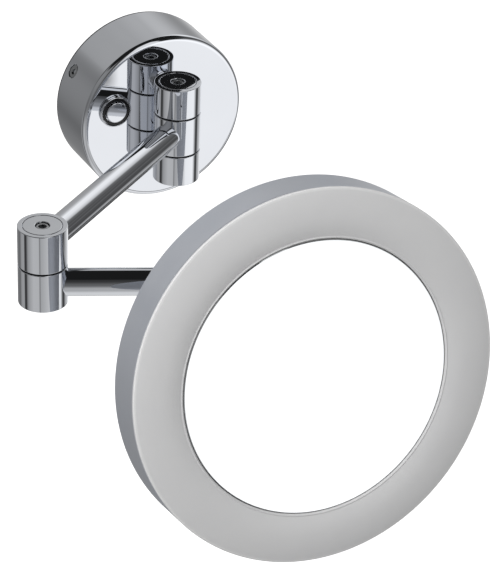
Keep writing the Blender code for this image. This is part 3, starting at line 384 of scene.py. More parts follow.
@dataclass(frozen=True)
class Finish:
    """One finish: its colours, its gloss, and the marks of how it was made."""

    name: str
    slot: str
    colour: str
    shade: str
    metallic: float
    roughness: float
    haze: float  # how far roughness wanders either way
    grain_mm: float  # size of the fine marks
    grain_depth_mm: float
    patch_mm: float  # size of the soft patches in colour and gloss
    pattern: Pattern = Pattern.GRAIN
    ior: float = 1.5
    coat: float = 0.0

    def material(self) -> bpy.types.Material:
        """Return this finish's material, made at its first use.

        Returns:
            The material.
        """
        if self.name in bpy.data.materials:
            return bpy.data.materials[self.name]
        made = bpy.data.materials.new(self.name)
        made.use_nodes = True
        tree = made.node_tree
        shader = tree.nodes["Principled BSDF"]
        shader.inputs["Metallic"].default_value = self.metallic
        if self.metallic == 0:
            shader.inputs["IOR"].default_value = self.ior
        shader.inputs["Coat Weight"].default_value = self.coat
        self.dress(tree, shader)
        return made

    def dress(self, tree: bpy.types.NodeTree, shader: bpy.types.Node) -> None:
        """Build the colour, gloss and relief of the surface.

        Args:
            tree: the material's node tree.
            shader: its Principled node.
        """
        place = add_node(tree, "ShaderNodeTexCoord").outputs["Object"]
        patches = add_node(
            tree,
            "ShaderNodeTexNoise",
            inputs={"Vector": place, "Scale": 1 / (self.patch_mm * MM), "Detail": 3.0},
        ).outputs["Fac"]
        colour = add_node(
            tree,
            "ShaderNodeMix",
            {"data_type": "RGBA"},
            {"Factor": patches, "A": linear(self.colour), "B": linear(self.shade)},
        )
        tree.links.new(colour.outputs["Result"], shader.inputs["Base Color"])
        gloss = add_node(
            tree,
            "ShaderNodeMapRange",
            inputs={
                "Value": patches,
                "From Min": 0.3,
                "From Max": 0.7,
                "To Min": max(self.roughness - self.haze, 0.0),
                "To Max": self.roughness + self.haze,
            },
        )
        tree.links.new(gloss.outputs["Result"], shader.inputs["Roughness"])
        relief = add_node(
            tree,
            "ShaderNodeBump",
            inputs={
                "Height": self.marks(tree, place),
                "Distance": self.grain_depth_mm * MM,
                "Strength": 1.0,
            },
        )
        tree.links.new(relief.outputs["Normal"], shader.inputs["Normal"])

    def marks(self, tree: bpy.types.NodeTree, place: bpy.types.NodeSocket) -> bpy.types.NodeSocket:
        """Return the height, 0 to 1, of the fine marks.

        Args:
            tree: the material's node tree.
            place: the point's position.

        Returns:
            The socket that carries the height.
        """
        scale = 1 / (self.grain_mm * MM)
        if self.pattern is Pattern.CRAZED:
            cells = {"Vector": place, "Scale": scale}
            return add_node(tree, "ShaderNodeTexVoronoi", inputs=cells).outputs["Distance"]
        if self.pattern is Pattern.RINGS:
            grooves = {"Vector": radius_and_height(tree), "Scale": scale, "Detail": 2.0}
            return add_node(tree, "ShaderNodeTexNoise", inputs=grooves).outputs["Fac"]
        grain = {"Vector": place, "Scale": scale, "Detail": 2.0}
        return add_node(tree, "ShaderNodeTexNoise", inputs=grain).outputs["Fac"]


def radius_and_height(tree: bpy.types.NodeTree) -> bpy.types.NodeSocket:
    """Return a point's distance from its piece's axis, 0, and its height along it.

    Args:
        tree: the material's node tree.

    Returns:
        The socket of the attribute that note_axis writes.
    """
    return add_node(tree, "ShaderNodeAttribute", {"attribute_name": AXIS_NOTE}).outputs["Vector"]


@dataclass(frozen=True)
class OpalFinish(Finish):
    """Milky acrylic: light soaks in a little and comes out at its edges; that glow at the outer edge
    is painted into the colour as a paler rim.
    """

    # painted glow: the paler colour of the outer edge, standing in for light that the edge gathers
    painted_edge_glow_colour: str = "CACACA"
    painted_edge_glow_radius_mm: float = 100.0  # from here outwards the moulding's edge is thin, and its colour is painted paler as a glow of gathered light

    def dress(self, tree: bpy.types.NodeTree, shader: bpy.types.Node) -> None:
        """Add the painted glow of the outer rim, a paler colour that stands in for light gathered at
        the edge, and the depth of the milky body to the plain finish.

        Args:
            tree: the material's node tree.
            shader: its Principled node.
        """
        super().dress(tree, shader)
        shader.inputs["Subsurface Weight"].default_value = 0.25
        shader.inputs["Subsurface Radius"].default_value = (1.0, 1.0, 1.0)
        shader.inputs["Subsurface Scale"].default_value = 3 * MM
        # painted light: from the glow's radius outwards the base colour turns paler, a glow of light
        # gathered at the edge
        radial = add_node(tree, "ShaderNodeSeparateXYZ", inputs={0: radius_and_height(tree)})
        rim = add_node(
            tree,
            "ShaderNodeMapRange",
            {"interpolation_type": "SMOOTHSTEP"},
            {
                "Value": radial.outputs["X"],
                "From Min": (self.painted_edge_glow_radius_mm - 0.8) * MM,
                "From Max": self.painted_edge_glow_radius_mm * MM,
            },
        )
        plain = shader.inputs["Base Color"].links[0].from_socket
        pale = add_node(
            tree,
            "ShaderNodeMix",
            {"data_type": "RGBA"},
            {"Factor": rim.outputs["Result"], "A": plain, "B": linear(self.painted_edge_glow_colour)},
        )
        tree.links.new(pale.outputs["Result"], shader.inputs["Base Color"])


# Bright decorative chrome on brass: sharp reflections, a faint blue-grey cast,
# and a slow waviness under a hundredth of a millimetre from hand polishing.
CHROME = Finish(
    "polished_chrome_plate", "chrome", "E8EAEF", "E2E5EA", 1.0, 0.010, 0.005, 9.0, 0.0008, 30.0
)
# The same plate on flat turned discs; the lathe's fine circles under it are drawn here as a fine even
# grain.
TURNED_CHROME = Finish(
    "turned_chrome_plate", "chrome", "E8EAEE", "DEE1E6", 1.0, 0.035, 0.01, 1.2, 0.0002, 12.0
)
# Spun aluminium, bead blasted and clear anodised: soft broad sheen, no sharp image.
SATIN_ALUMINIUM = Finish(
    "satin_anodised_aluminium",
    "satin_aluminium",
    "DADDE3",
    "C9CED8",
    0.75,
    0.36,
    0.04,
    0.6,
    0.010,
    34.0,
    Pattern.RINGS,
)
# Opal acrylic moulding, satin outside: pale grey body with the light off.
OPAL = OpalFinish(
    "opal_acrylic_moulding", "opal_acrylic", "C4C4C4", "C0C0C1", 0.0, 0.42, 0.04, 0.8, 0.004, 25.0,
    ior=1.49,
)
# Silvered float glass: the brightest, sharpest reflection on the object.
SILVERED_GLASS = Finish(
    "silvered_glass", "mirror_glass", "FAFBFC", "F7F9FB", 1.0, 0.008, 0.004, 40.0, 0.0005, 60.0
)
# Nitrile rubber: dark, dull, slightly grained by its mould.
RUBBER = Finish(
    "nitrile_rubber", "black_rubber", "1B1B1C", "232324", 0.0, 0.62, 0.08, 0.5, 0.02, 8.0, ior=1.52
)
# Moulded black ABS: satin, with the fine texture of a spark-eroded mould.
BLACK_ABS = Finish(
    "moulded_black_abs", "black_plastic", "0C0C0E", "121214", 0.0, 0.22, 0.06, 0.4, 0.01, 9.0, ior=1.53
)
# Moulded white polycarbonate of the tray and the power supply's case.
WHITE_PLASTIC = Finish(
    "moulded_white_polycarbonate", "white_plastic", "E8E7E2", "DEDDD7", 0.0, 0.45, 0.06, 0.5,
    0.015, 14.0, ior=1.58,
)
# Zinc-plated steel pressing: bluish grey with a faint spangle.
ZINC_STEEL = Finish(
    "zinc_plated_steel", "steel", "A9ADB2", "969BA1", 1.0, 0.33, 0.08, 2.4, 0.012, 9.0,
    Pattern.CRAZED,
)
# Stainless steel fasteners, machined and passivated.
STAINLESS = Finish(
    "machined_stainless_steel", "steel", "B9BBBD", "A5A7A9", 1.0, 0.24, 0.06, 0.4, 0.006, 5.0
)
# Sintered bronze bush: warm, matt and porous.
BRONZE = Finish(
    "sintered_bronze", "bronze", "B98A4E", "9C713C", 1.0, 0.42, 0.08, 0.3, 0.02, 3.0
)
# Natural nylon washers, dyed black.
NYLON = Finish(
    "dyed_nylon", "nylon", "202022", "2A2A2D", 0.0, 0.48, 0.06, 0.4, 0.008, 6.0, ior=1.53
)
# White solder resist over glass fibre: glossy, with the weave faintly showing.
LAMP_BOARD = Finish(
    "white_solder_resist", "circuit_board", "E9E9E2", "DCDCD2", 0.0, 0.28, 0.05, 0.9, 0.01, 7.0,
    Pattern.CRAZED, ior=1.55,
)

NODE_FINISHES: dict[str, Finish] = {
    "wall_plate": ZINC_STEEL,
    "cable_grommet": RUBBER,
    "post_bracket": ZINC_STEEL,
    "post_screw_upper": STAINLESS,
    "post_screw_lower": STAINLESS,
    "led_driver": WHITE_PLASTIC,
    "terminal_block": BLACK_ABS,
    "button_nut": STAINLESS,
    "button_switch": BLACK_ABS,
    "button_spring": STAINLESS,
    "base_spring_washer": STAINLESS,
    "elbow_spring_washer": STAINLESS,
    "swivel_spring_washer": STAINLESS,
    "base_friction_washer_upper": NYLON,
    "base_friction_washer_lower": NYLON,
    "elbow_friction_washer": NYLON,
    "swivel_friction_washer": NYLON,
    "tilt_washer_left": NYLON,
    "tilt_washer_right": NYLON,
    "base_bush": BRONZE,
    "elbow_bush": BRONZE,
    "swivel_bush": BRONZE,
    "tilt_nut": STAINLESS,
    "head_plate": ZINC_STEEL,
    "mirror_tray": WHITE_PLASTIC,
    "led_board": LAMP_BOARD,
}


def dress_plain_nodes(nodes: dict[str, bpy.types.Object]) -> int:
    """Give each solid that keeps its own shape its finish.

    Args:
        nodes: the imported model's nodes by name.

    Returns:
        How many were dressed.
    """
    for name, finish in NODE_FINISHES.items():
        for place in nodes[name].material_slots:
            place.material = finish.material()
        LOG.info("%s: %s, keeps its own shape", name, finish.name)
    return len(NODE_FINISHES)


# --------------------------------------------------------------------- places
@dataclass(frozen=True)
class Places:
    """The seats of the pivots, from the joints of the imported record."""

    wall: Seat
    post: Seat
    arm_1: Seat
    elbow: Seat
    arm_2: Seat
    wrist: Seat
    yoke: Seat
    head: Seat


def find_places(joints: list[dict]) -> Places:
    """Work out every seat from the joints.

    Args:
        joints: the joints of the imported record.

    Returns:
        The seats, in millimetres.
    """
    at = {j["name"]: np.asarray(j["pos_m"]) / MM for j in joints if "pos_m" in j}
    post, elbow = at["arm_1_swing"], at["arm_2_swing"]
    swivel, tilt = at["head_swivel"], at["head_tilt"]
    first = math.atan2(elbow[1] - post[1], elbow[0] - post[0])
    second = math.atan2(swivel[1] - elbow[1], swivel[0] - elbow[0])
    yaw = math.atan2(tilt[0] - swivel[0], swivel[1] - tilt[1])
    across = unit(np.array([math.cos(yaw), math.sin(yaw), 0.0]))
    into_wall = np.array([-math.sin(yaw), math.cos(yaw), 0.0])
    up = np.array([0.0, 0.0, 1.0])
    lean = math.radians(90 - HEAD_TILT_DEG)
    high = math.cos(lean) * into_wall + math.sin(lean) * up
    out = math.cos(lean) * up - math.sin(lean) * into_wall
    elbow_top = (elbow[0], elbow[1], post[2])
    wrist = (swivel[0], swivel[1], elbow[2])
    head = Seat(tuple(tilt), tuple(map(tuple, (across, high, out))))
    return Places(
        wall=Seat((0.0, 0.0, 0.0), ((1.0, 0.0, 0.0), (0.0, 0.0, 1.0), (0.0, -1.0, 0.0))),
        post=plan_seat(tuple(post), 0.0),
        arm_1=plan_seat(tuple(post), first),
        elbow=plan_seat(elbow_top, first),
        arm_2=plan_seat(tuple(elbow), second),
        wrist=plan_seat(wrist, second),
        yoke=plan_seat(tuple(swivel), yaw),
        head=head,
    )


# ----------------------------------------------------------------- fastenings
@dataclass(frozen=True)
class SocketScrew:
    """A screw with a hexagonal socket, its head's top at height 0."""

    head_radius: float
    head_height: float
    shank_radius: float
    length: float
    socket: float  # across flats
    socket_depth: float
    edge: float = 0.25
    collar_radius: float = 0.0
    collar_height: float = 0.0

    def grid(self, around: int = 72) -> Grid:
        """Return the screw's surface.

        Its profile runs from the socket's floor up its walls, over the collar
        and the head and down the shank; the socket's rows are hexagonal.

        Args:
            around: samples round its axis.

        Returns:
            Its surface.
        """
        flat = self.socket / 2
        top_radius = self.collar_radius or self.head_radius
        lip = min(self.edge, (top_radius - flat * 1.155) / 3)
        socket = soften(
            [
                (0.0, -self.socket_depth - 0.6),
                (flat * 0.35, -self.socket_depth - 0.5),
                (flat, -self.socket_depth),
                (flat, -lip),
                (flat + lip, 0.0),
            ],
            0.04,
            2,
        )
        low = -self.collar_height - self.head_height
        outline = [((flat + 1.2 * lip, 0.0), 0.0), ((top_radius, 0.0), self.edge)]
        if self.collar_height > 0:
            shelf = -self.collar_height - 0.02
            outline += [((top_radius, shelf), 0.01), ((self.head_radius + 0.02, shelf), 0.01)]
        outline += [
            ((self.head_radius, low), self.edge / 2),
            ((self.shank_radius, low), 0.1),
            ((self.shank_radius, -self.length), 0.4),
            ((0.0, -self.length), 0.0),
        ]
        corners, softness = zip(*outline)
        outside = soften(list(corners), list(softness), 4)
        profile = np.concatenate([socket, outside])
        hexed = np.where(np.arange(len(profile)) < len(socket) - 1, 1.0, 0.0)
        return grid_of(turned(profile, around, hexed))


# ----------------------------------------------------------------------- base
@dataclass
class Base:
    """The chrome drum on the wall, its side screw and its push button."""

    radius: float = 50.0
    depth: float = 37.5
    edge: float = 3.0
    wall: float = 1.5
    back: float = 1.3  # height of the cover's rim above the wall
    gasket: float = 1.0
    around: int = 384
    screw_angle: float = math.radians(150)
    screw_height: float = 8.7
    screw_head: float = 3.8
    pocket_radius: float = 4.1
    pocket_depth: float = 1.25
    pocket_chamfer: float = 0.2
    button_place: tuple[float, float] = (-30.5, 10.5)
    bezel_radius: float = 9.4
    bezel_front: float = 39.6
    cap_radius: float = 6.2
    cap_front: float = 40.4

    def cover(self, seat: Seat) -> bpy.types.Object:
        """The drum, with a round pocket in its side for the screw's head.

        The drum is a turned cup. A square window of its side's quads is left
        out round the screw and filled by a patch whose rings pass from the
        window's outline to the pocket's circle, then down its wall to its
        floor. All of the patch outside the pocket lies on the same cylinder.

        Args:
            seat: where it sits.

        Returns:
            The piece.
        """
        half = 6
        cell = self.radius * TURN / self.around
        rise = self.screw_height + cell * np.arange(-half, half + 1)
        inner = self.radius - self.wall
        ceiling = self.depth - self.wall
        shell = soften(
            [(0.0, ceiling), (inner, ceiling), (inner, self.back), (self.radius, self.back),
             (self.radius, self.depth), (0.0, self.depth)],
            [0.0, 1.5, 0.15, 0.3, self.edge, 0.0],
            14,
        )
        on_side = np.flatnonzero(np.abs(shell[:, 0] - self.radius) < 1e-6)
        split = on_side[shell[on_side, 1] < rise[0]].max() + 1
        window = np.stack([np.full(len(rise), self.radius), rise], axis=1)
        profile = np.concatenate([shell[:split], window, shell[split:]])
        rows = turned(profile, self.around)
        column = int(round(self.screw_angle / TURN * self.around))
        keep = np.ones((len(profile) - 1, self.around), bool)
        keep[split : split + 2 * half, column - half : column + half] = False
        shape = grid_of(rows, keep).joined(self.screw_patch(half, cell))
        return make_piece("drum_cover", shape, seat, CHROME, "base", ("base_cover",))

    def screw_patch(self, half: int, cell: float) -> Grid:
        """The patch that fills the window, with the pocket in its middle.

        Args:
            half: cells from the window's middle to its side.
            cell: a cell's size.

        Returns:
            Its surface, in the drum's frame.
        """
        count = 8 * half
        step = np.arange(count)
        side, run = step // (2 * half), step % (2 * half) - half
        out = np.full(count, half)
        across = np.select([side == 0, side == 1, side == 2], [run, out, -run], -out) * cell
        along = np.select([side == 0, side == 1, side == 2], [-out, run, out], -run) * cell
        outline = np.stack([across, along], axis=1)
        circle = unit(np.stack([across, along], axis=1))
        mouth = self.pocket_radius + self.pocket_chamfer
        share = np.linspace(0, 1, 9)[:, None, None]
        skirt = outline * (1 - share) + circle * mouth * share
        depths = np.zeros(len(skirt))
        radii = np.array([self.pocket_radius, self.pocket_radius, self.pocket_radius - 0.1, 0.0])
        below = np.array([self.pocket_chamfer, self.pocket_depth - 0.1, self.pocket_depth,
                          self.pocket_depth])
        well = circle[None] * radii[:, None, None]
        flat = np.concatenate([skirt, well])
        depth = np.concatenate([depths, below])[:, None]
        sideways = flat[..., 0]
        # The skirt is laid on the cylinder by arc length at its outline and by
        # true distance at the circle, so that the pocket looks round.
        turn = np.concatenate([np.repeat(share[:, 0], count, axis=1), np.ones((len(radii), count))])
        by_arc = sideways / self.radius
        by_chord = np.arcsin(np.clip(sideways / self.radius, -1, 1))
        angle = self.screw_angle + by_arc * (1 - turn) + by_chord * turn
        radius = self.radius - depth
        points = np.stack(
            [radius * np.cos(angle), radius * np.sin(angle), self.screw_height + flat[..., 1]],
            axis=-1,
        )
        return grid_of(points)

    def side_screw(self, seat: Seat) -> bpy.types.Object:
        """The socket screw in the drum's side.

        Args:
            seat: where it sits.

        Returns:
            The piece.
        """
        x, y = math.cos(self.screw_angle), math.sin(self.screw_angle)
        outward = seat.place(np.array([x, y, 0.0])) - np.asarray(seat.origin)
        along = np.asarray(seat.axes)[2]
        sideways = np.cross(along, outward)
        top = seat.place(np.array([x, y, 0.0]) * (self.radius - 0.35) + [0, 0, self.screw_height])
        place = Seat(tuple(top), tuple(map(tuple, (sideways, along, outward))))
        screw = SocketScrew(self.screw_head, 0.8, 2.5, 6.6, 3.0, 2.4, 0.42)
        return make_piece("side_screw", screw.grid(), place, STAINLESS, "base", ("base_grub_screw",))

    def gasket_ring(self, seat: Seat) -> bpy.types.Object:
        """The rubber ring between the drum and the wall.

        Args:
            seat: where it sits.

        Returns:
            The piece.
        """
        outer, inner = self.radius - 0.3, self.radius - self.wall
        profile = soften(
            [(outer, self.gasket), (outer, 0.0), (inner, 0.0), (inner, self.gasket)], 0.2, 3, True
        )
        shape = grid_of(turned(profile, 192))
        return make_piece("wall_gasket", shape, seat, RUBBER, "base", ("base_gasket",))

    def button(self, seat: Seat) -> int:
        """The button's bezel, black ring and sprung cap.

        Args:
            seat: the drum's seat.

        Returns:
            How many pieces were made.
        """
        place = seat.moved((*self.button_place, 0.0))
        front, seat_height = self.bezel_front, self.depth + 0.3
        lip = self.bezel_radius - 0.9
        bezel = soften(
            [(lip, front), (self.bezel_radius, front), (self.bezel_radius, seat_height),
             (7.7, seat_height), (7.7, 20.5), (6.5, 20.5), (6.5, front - 1.2), (lip, front - 1.2)],
            [0.25, 0.7, 0.15, 0.15, 0.3, 0.2, 0.15, 0.15],
            5,
            True,
        )
        shape = grid_of(turned(bezel, 128))
        make_piece("bezel_ring", shape, place, CHROME, "base", ("button_bezel",))
        ring = soften(
            [(lip - 0.3, front - 0.3), (lip - 0.3, front - 0.9), (6.6, front - 0.9),
             (6.6, front - 0.3)],
            0.12,
            3,
            True,
        )
        shape = grid_of(turned(ring, 128))
        make_piece("bezel_insert", shape, place, BLACK_ABS, "base", ("button_ring",))
        cap = soften(
            [(0.0, self.cap_front), (self.cap_radius, self.cap_front - 0.04),
             (self.cap_radius, self.cap_front - 4.5), (1.5, self.cap_front - 4.5), (1.5, 21.5),
             (0.0, 21.5)],
            [0.0, 0.5, 0.2, 0.2, 0.3, 0.0],
            5,
        )
        shape = grid_of(turned(cap, 128))
        make_piece("push_cap", shape, place, CHROME, "button", ("button_cap",))
        return 3

    def build(self, places: Places) -> int:
        """Make every piece of the base and return how many there are.

        Args:
            places: the seats of the pivots.

        Returns:
            How many pieces were made.
        """
        self.cover(places.wall)
        self.side_screw(places.wall)
        self.gasket_ring(places.wall)
        return 3 + self.button(places.wall)


# --------------------------------------------------------------------- pivots
class End(Enum):
    """What a barrel has at an end."""

    TOP = "a recess for the inset disc, over the pivot screw's head"
    BOTTOM = "a recess for the round nut and its spring washer"
    NONE = "a plain bore at both ends"


@dataclass
class Pivots:
    """The barrels, discs, screws and nuts of the three upright pivots."""

    radius: float = 13.3
    edge: float = 0.35
    height: float = 22.3
    gap: float = 0.9
    post_end: float = 17.9
    disc_radius: float = 10.4
    disc_thickness: float = 2.3
    disc_hole: float = 3.9
    collar_radius: float = 3.4
    collar_sink: float = 0.6
    around: int = 144

    def barrel(
        self, name: str, seat: Seat, height: float, end: End, bore: float, body: str, node: str
    ) -> bpy.types.Object:
        """One barrel, centred on its seat.

        Args:
            name: the piece's name.
            seat: its centre.
            height: its height.
            end: which recess it has.
            bore: radius of its bore.
            body: the body that it moves with.
            node: the plain solid that it stands for.

        Returns:
            The piece.
        """
        top, bottom = height / 2, -height / 2
        recess = self.disc_radius + 0.3
        corners = [(self.radius, top, self.edge), (self.radius, bottom, self.edge)]
        if end is End.BOTTOM:
            shelf, deep = bottom + self.disc_thickness + 0.3, bottom + 6.7
            corners += [(recess, bottom, 0.2), (recess, shelf, 0.1), (6.1, shelf, 0.1),
                        (6.1, deep, 0.1), (bore, deep, 0.1)]
        else:
            corners.append((bore, bottom, 0.1))
        if end is End.TOP:
            shelf = top - self.disc_thickness - 0.3
            corners += [(bore, shelf - 4.3, 0.1), (5.5, shelf - 4.3, 0.1), (5.5, shelf, 0.1),
                        (recess, shelf, 0.1), (recess, top, 0.2)]
        else:
            corners.append((bore, top, 0.1))
        table = np.asarray(corners)
        profile = soften(table[:, :2].tolist(), table[:, 2].tolist(), 5, True)
        shape = grid_of(turned(profile, self.around))
        return make_piece(name, shape, seat, CHROME, body, (node,))

    def fixings(self, prefix: str, seat: Seat, top: float, bottom: float, body: str) -> int:
        """The disc, screw and nut of one pivot.

        Args:
            prefix: which pivot.
            seat: a seat on its axis.
            top: height of the upper barrel's top above the seat.
            bottom: height of the lower barrel's bottom.
            body: the body that they move with.

        Returns:
            How many pieces were made.
        """
        disc = soften(
            [(self.disc_hole, top - self.disc_thickness), (self.disc_radius,
             top - self.disc_thickness), (self.disc_radius, top), (self.disc_hole, top)],
            [0.1, 0.1, 0.3, 0.35],
            4,
            True,
        )
        shape = grid_of(turned(disc, self.around))
        node = f"{prefix}_pivot_cap"
        make_piece(f"{prefix}_inset_disc", shape, seat, TURNED_CHROME, body, (node,))
        collar_top = top - self.collar_sink
        collar = self.disc_thickness + 0.3 - self.collar_sink
        length = collar_top - (bottom + self.disc_thickness / 2)
        screw = SocketScrew(5.2, 4.0, 3.0, length, 4.0, 2.4, 0.3, self.collar_radius, collar)
        place = seat.moved((0.0, 0.0, collar_top))
        node = f"{prefix}_pivot_screw"
        make_piece(f"{prefix}_socket_screw", screw.grid(), place, STAINLESS, body, (node,))
        shelf, floor = bottom + self.disc_thickness, bottom + self.disc_thickness / 2 - 0.3
        nut = soften(
            [(0.0, floor), (3.3, floor), (3.3, shelf + 2.5), (5.0, shelf + 2.5), (5.0, shelf),
             (self.disc_radius, shelf), (self.disc_radius, bottom), (0.0, bottom)],
            [0.0, 0.1, 0.1, 0.2, 0.1, 0.1, 0.3, 0.0],
            4,
        )
        shape = grid_of(turned(nut, self.around))
        node = f"{prefix}_pivot_nut"
        make_piece(f"{prefix}_round_nut", shape, seat, TURNED_CHROME, body, (node,))
        return 3

    def build(self, places: Places) -> int:
        """Make every barrel and its fixings and return how many there are.

        Args:
            places: the seats of the pivots.

        Returns:
            How many pieces were made.
        """
        reach = self.height / 2 + self.gap + self.post_end / 2
        bush, plain = 5.0, 3.3
        tall, short = self.height, self.post_end
        rows = (
            ("post_top_barrel", places.post.moved((0, 0, reach)), short, End.TOP, plain, "base",
             "post_upper_barrel"),
            ("post_foot_barrel", places.post.moved((0, 0, -reach)), short, End.BOTTOM, plain,
             "base", "post_lower_barrel"),
            ("arm_1_root_barrel", places.arm_1, tall, End.NONE, bush, "arm_1",
             "arm_1_inner_barrel"),
            ("arm_1_elbow_barrel", places.elbow, tall, End.TOP, plain, "arm_1",
             "arm_1_outer_barrel"),
            ("arm_2_elbow_barrel", places.arm_2, tall, End.BOTTOM, bush, "arm_2",
             "arm_2_inner_barrel"),
            ("arm_2_wrist_barrel", places.wrist, tall, End.TOP, plain, "arm_2",
             "arm_2_outer_barrel"),
            ("yoke_root_barrel", places.yoke, tall, End.BOTTOM, bush, "yoke", "yoke_barrel"),
        )
        for row in rows:
            self.barrel(*row)
        top = tall / 2
        low = top - 2 * tall - self.gap
        post_top = reach + short / 2
        made = len(rows) + self.fixings("base", places.post, post_top, -post_top, "base")
        made += self.fixings("elbow", places.elbow, top, low, "arm_1")
        return made + self.fixings("swivel", places.wrist, top, low, "arm_2")


# ----------------------------------------------------------------------- arms
@dataclass
class Arms:
    """The two round tubes, the post's stubs and the head's stem."""

    tube_radius: float = 7.5
    barrel_radius: float = 13.3
    sink: float = 0.2  # how far a tube's end passes the barrel's skin
    stub_radius: float = 7.0
    stub_reach: float = 17.3
    around: int = 128

    def tube(self, radius: float, length: float, both: bool) -> Grid:
        """A round rod whose ends follow the barrels that it meets.

        P(u, v) = (x, r cos v, r sin v). At a barrel of radius R on the rod's
        axis, x = sqrt(R^2 - (r cos v)^2); at a flat end x is constant.

        Args:
            radius: the rod's radius.
            length: distance from its first barrel's axis to its far end.
            both: whether the far end meets a barrel too.

        Returns:
            The rod, along X.
        """
        angle = np.arange(self.around) * TURN / self.around
        y, z = radius * np.cos(angle), radius * np.sin(angle)
        near = np.sqrt((self.barrel_radius - self.sink) ** 2 - y**2)
        far = length - near if both else np.full(self.around, length)
        share = np.linspace(0, 1, 9)[:, None]
        x = near * (1 - share) + far * share
        rows = np.stack([x, np.broadcast_to(y, x.shape), np.broadcast_to(z, x.shape)], axis=-1)
        return grid_of(capped(rows))

    def stem(self, seat: Seat) -> bpy.types.Object:
        """The rod from the yoke's barrel, flattened to an eye on the tilt axis.

        The section passes from a circle to a rounded bar, and the bar's depth
        then follows the eye's circle: b = sqrt(R^2 - (z - z0)^2).

        Args:
            seat: where it sits.

        Returns:
            The piece.
        """
        start, neck, eye, eye_radius = 12.9, 27.0, 38.0, 7.5
        bend = math.acos(4.6 / eye_radius)
        angles = np.linspace(-bend, math.pi / 2, 28)
        along = np.concatenate(
            [[start], np.linspace(start + 0.1, neck - 2, 5), np.linspace(neck - 1.6, neck + 1.2, 9),
             [neck + 1.4], eye + eye_radius * np.sin(angles)]
        )
        flat = np.clip((along - (neck - 1.6)) / 2.8, 0, 1)
        ease = flat * flat * (3 - 2 * flat)
        depth = np.where(
            along < eye + eye_radius * math.sin(-bend),
            5.5 - 0.9 * ease,
            np.sqrt(np.maximum(eye_radius**2 - (along - eye) ** 2, TIP**2)),
        )
        rows = lofted(along, 5.5 - 1.5 * ease, depth, 2 + 8 * ease, 96)
        place = seat.turned((0, 2, 1), (1, 1, -1))
        shape = grid_of(capped(rows))
        return make_piece("yoke_stem_and_eye", shape, place, CHROME, "yoke", ("yoke_stem",))

    def build(self, places: Places) -> int:
        """Make the tubes, stubs and stem and return how many there are.

        Args:
            places: the seats of the pivots.

        Returns:
            How many pieces were made.
        """
        first = float(np.linalg.norm(np.subtract(places.elbow.origin, places.arm_1.origin)))
        second = float(np.linalg.norm(np.subtract(places.wrist.origin, places.arm_2.origin)))
        rod = self.tube(self.tube_radius, first, True)
        make_piece("arm_1_round_tube", rod, places.arm_1, CHROME, "arm_1", ("arm_1_tube",))
        rod = self.tube(self.tube_radius, second, True)
        make_piece("arm_2_round_tube", rod, places.arm_2, CHROME, "arm_2", ("arm_2_tube",))
        reach = 11.15 + 0.9 + 17.9 / 2
        to_wall = places.post.turned((1, 0, 2), (1, -1, 1))
        for side, height in (("upper", reach), ("lower", -reach)):
            stub = self.tube(self.stub_radius, self.stub_reach, False)
            place = to_wall.moved((0.0, 0.0, height))
            node = f"post_{side}_barrel"
            make_piece(f"post_{side}_stub", stub, place, CHROME, "base", (node,))
        self.stem(places.yoke)
        return 5


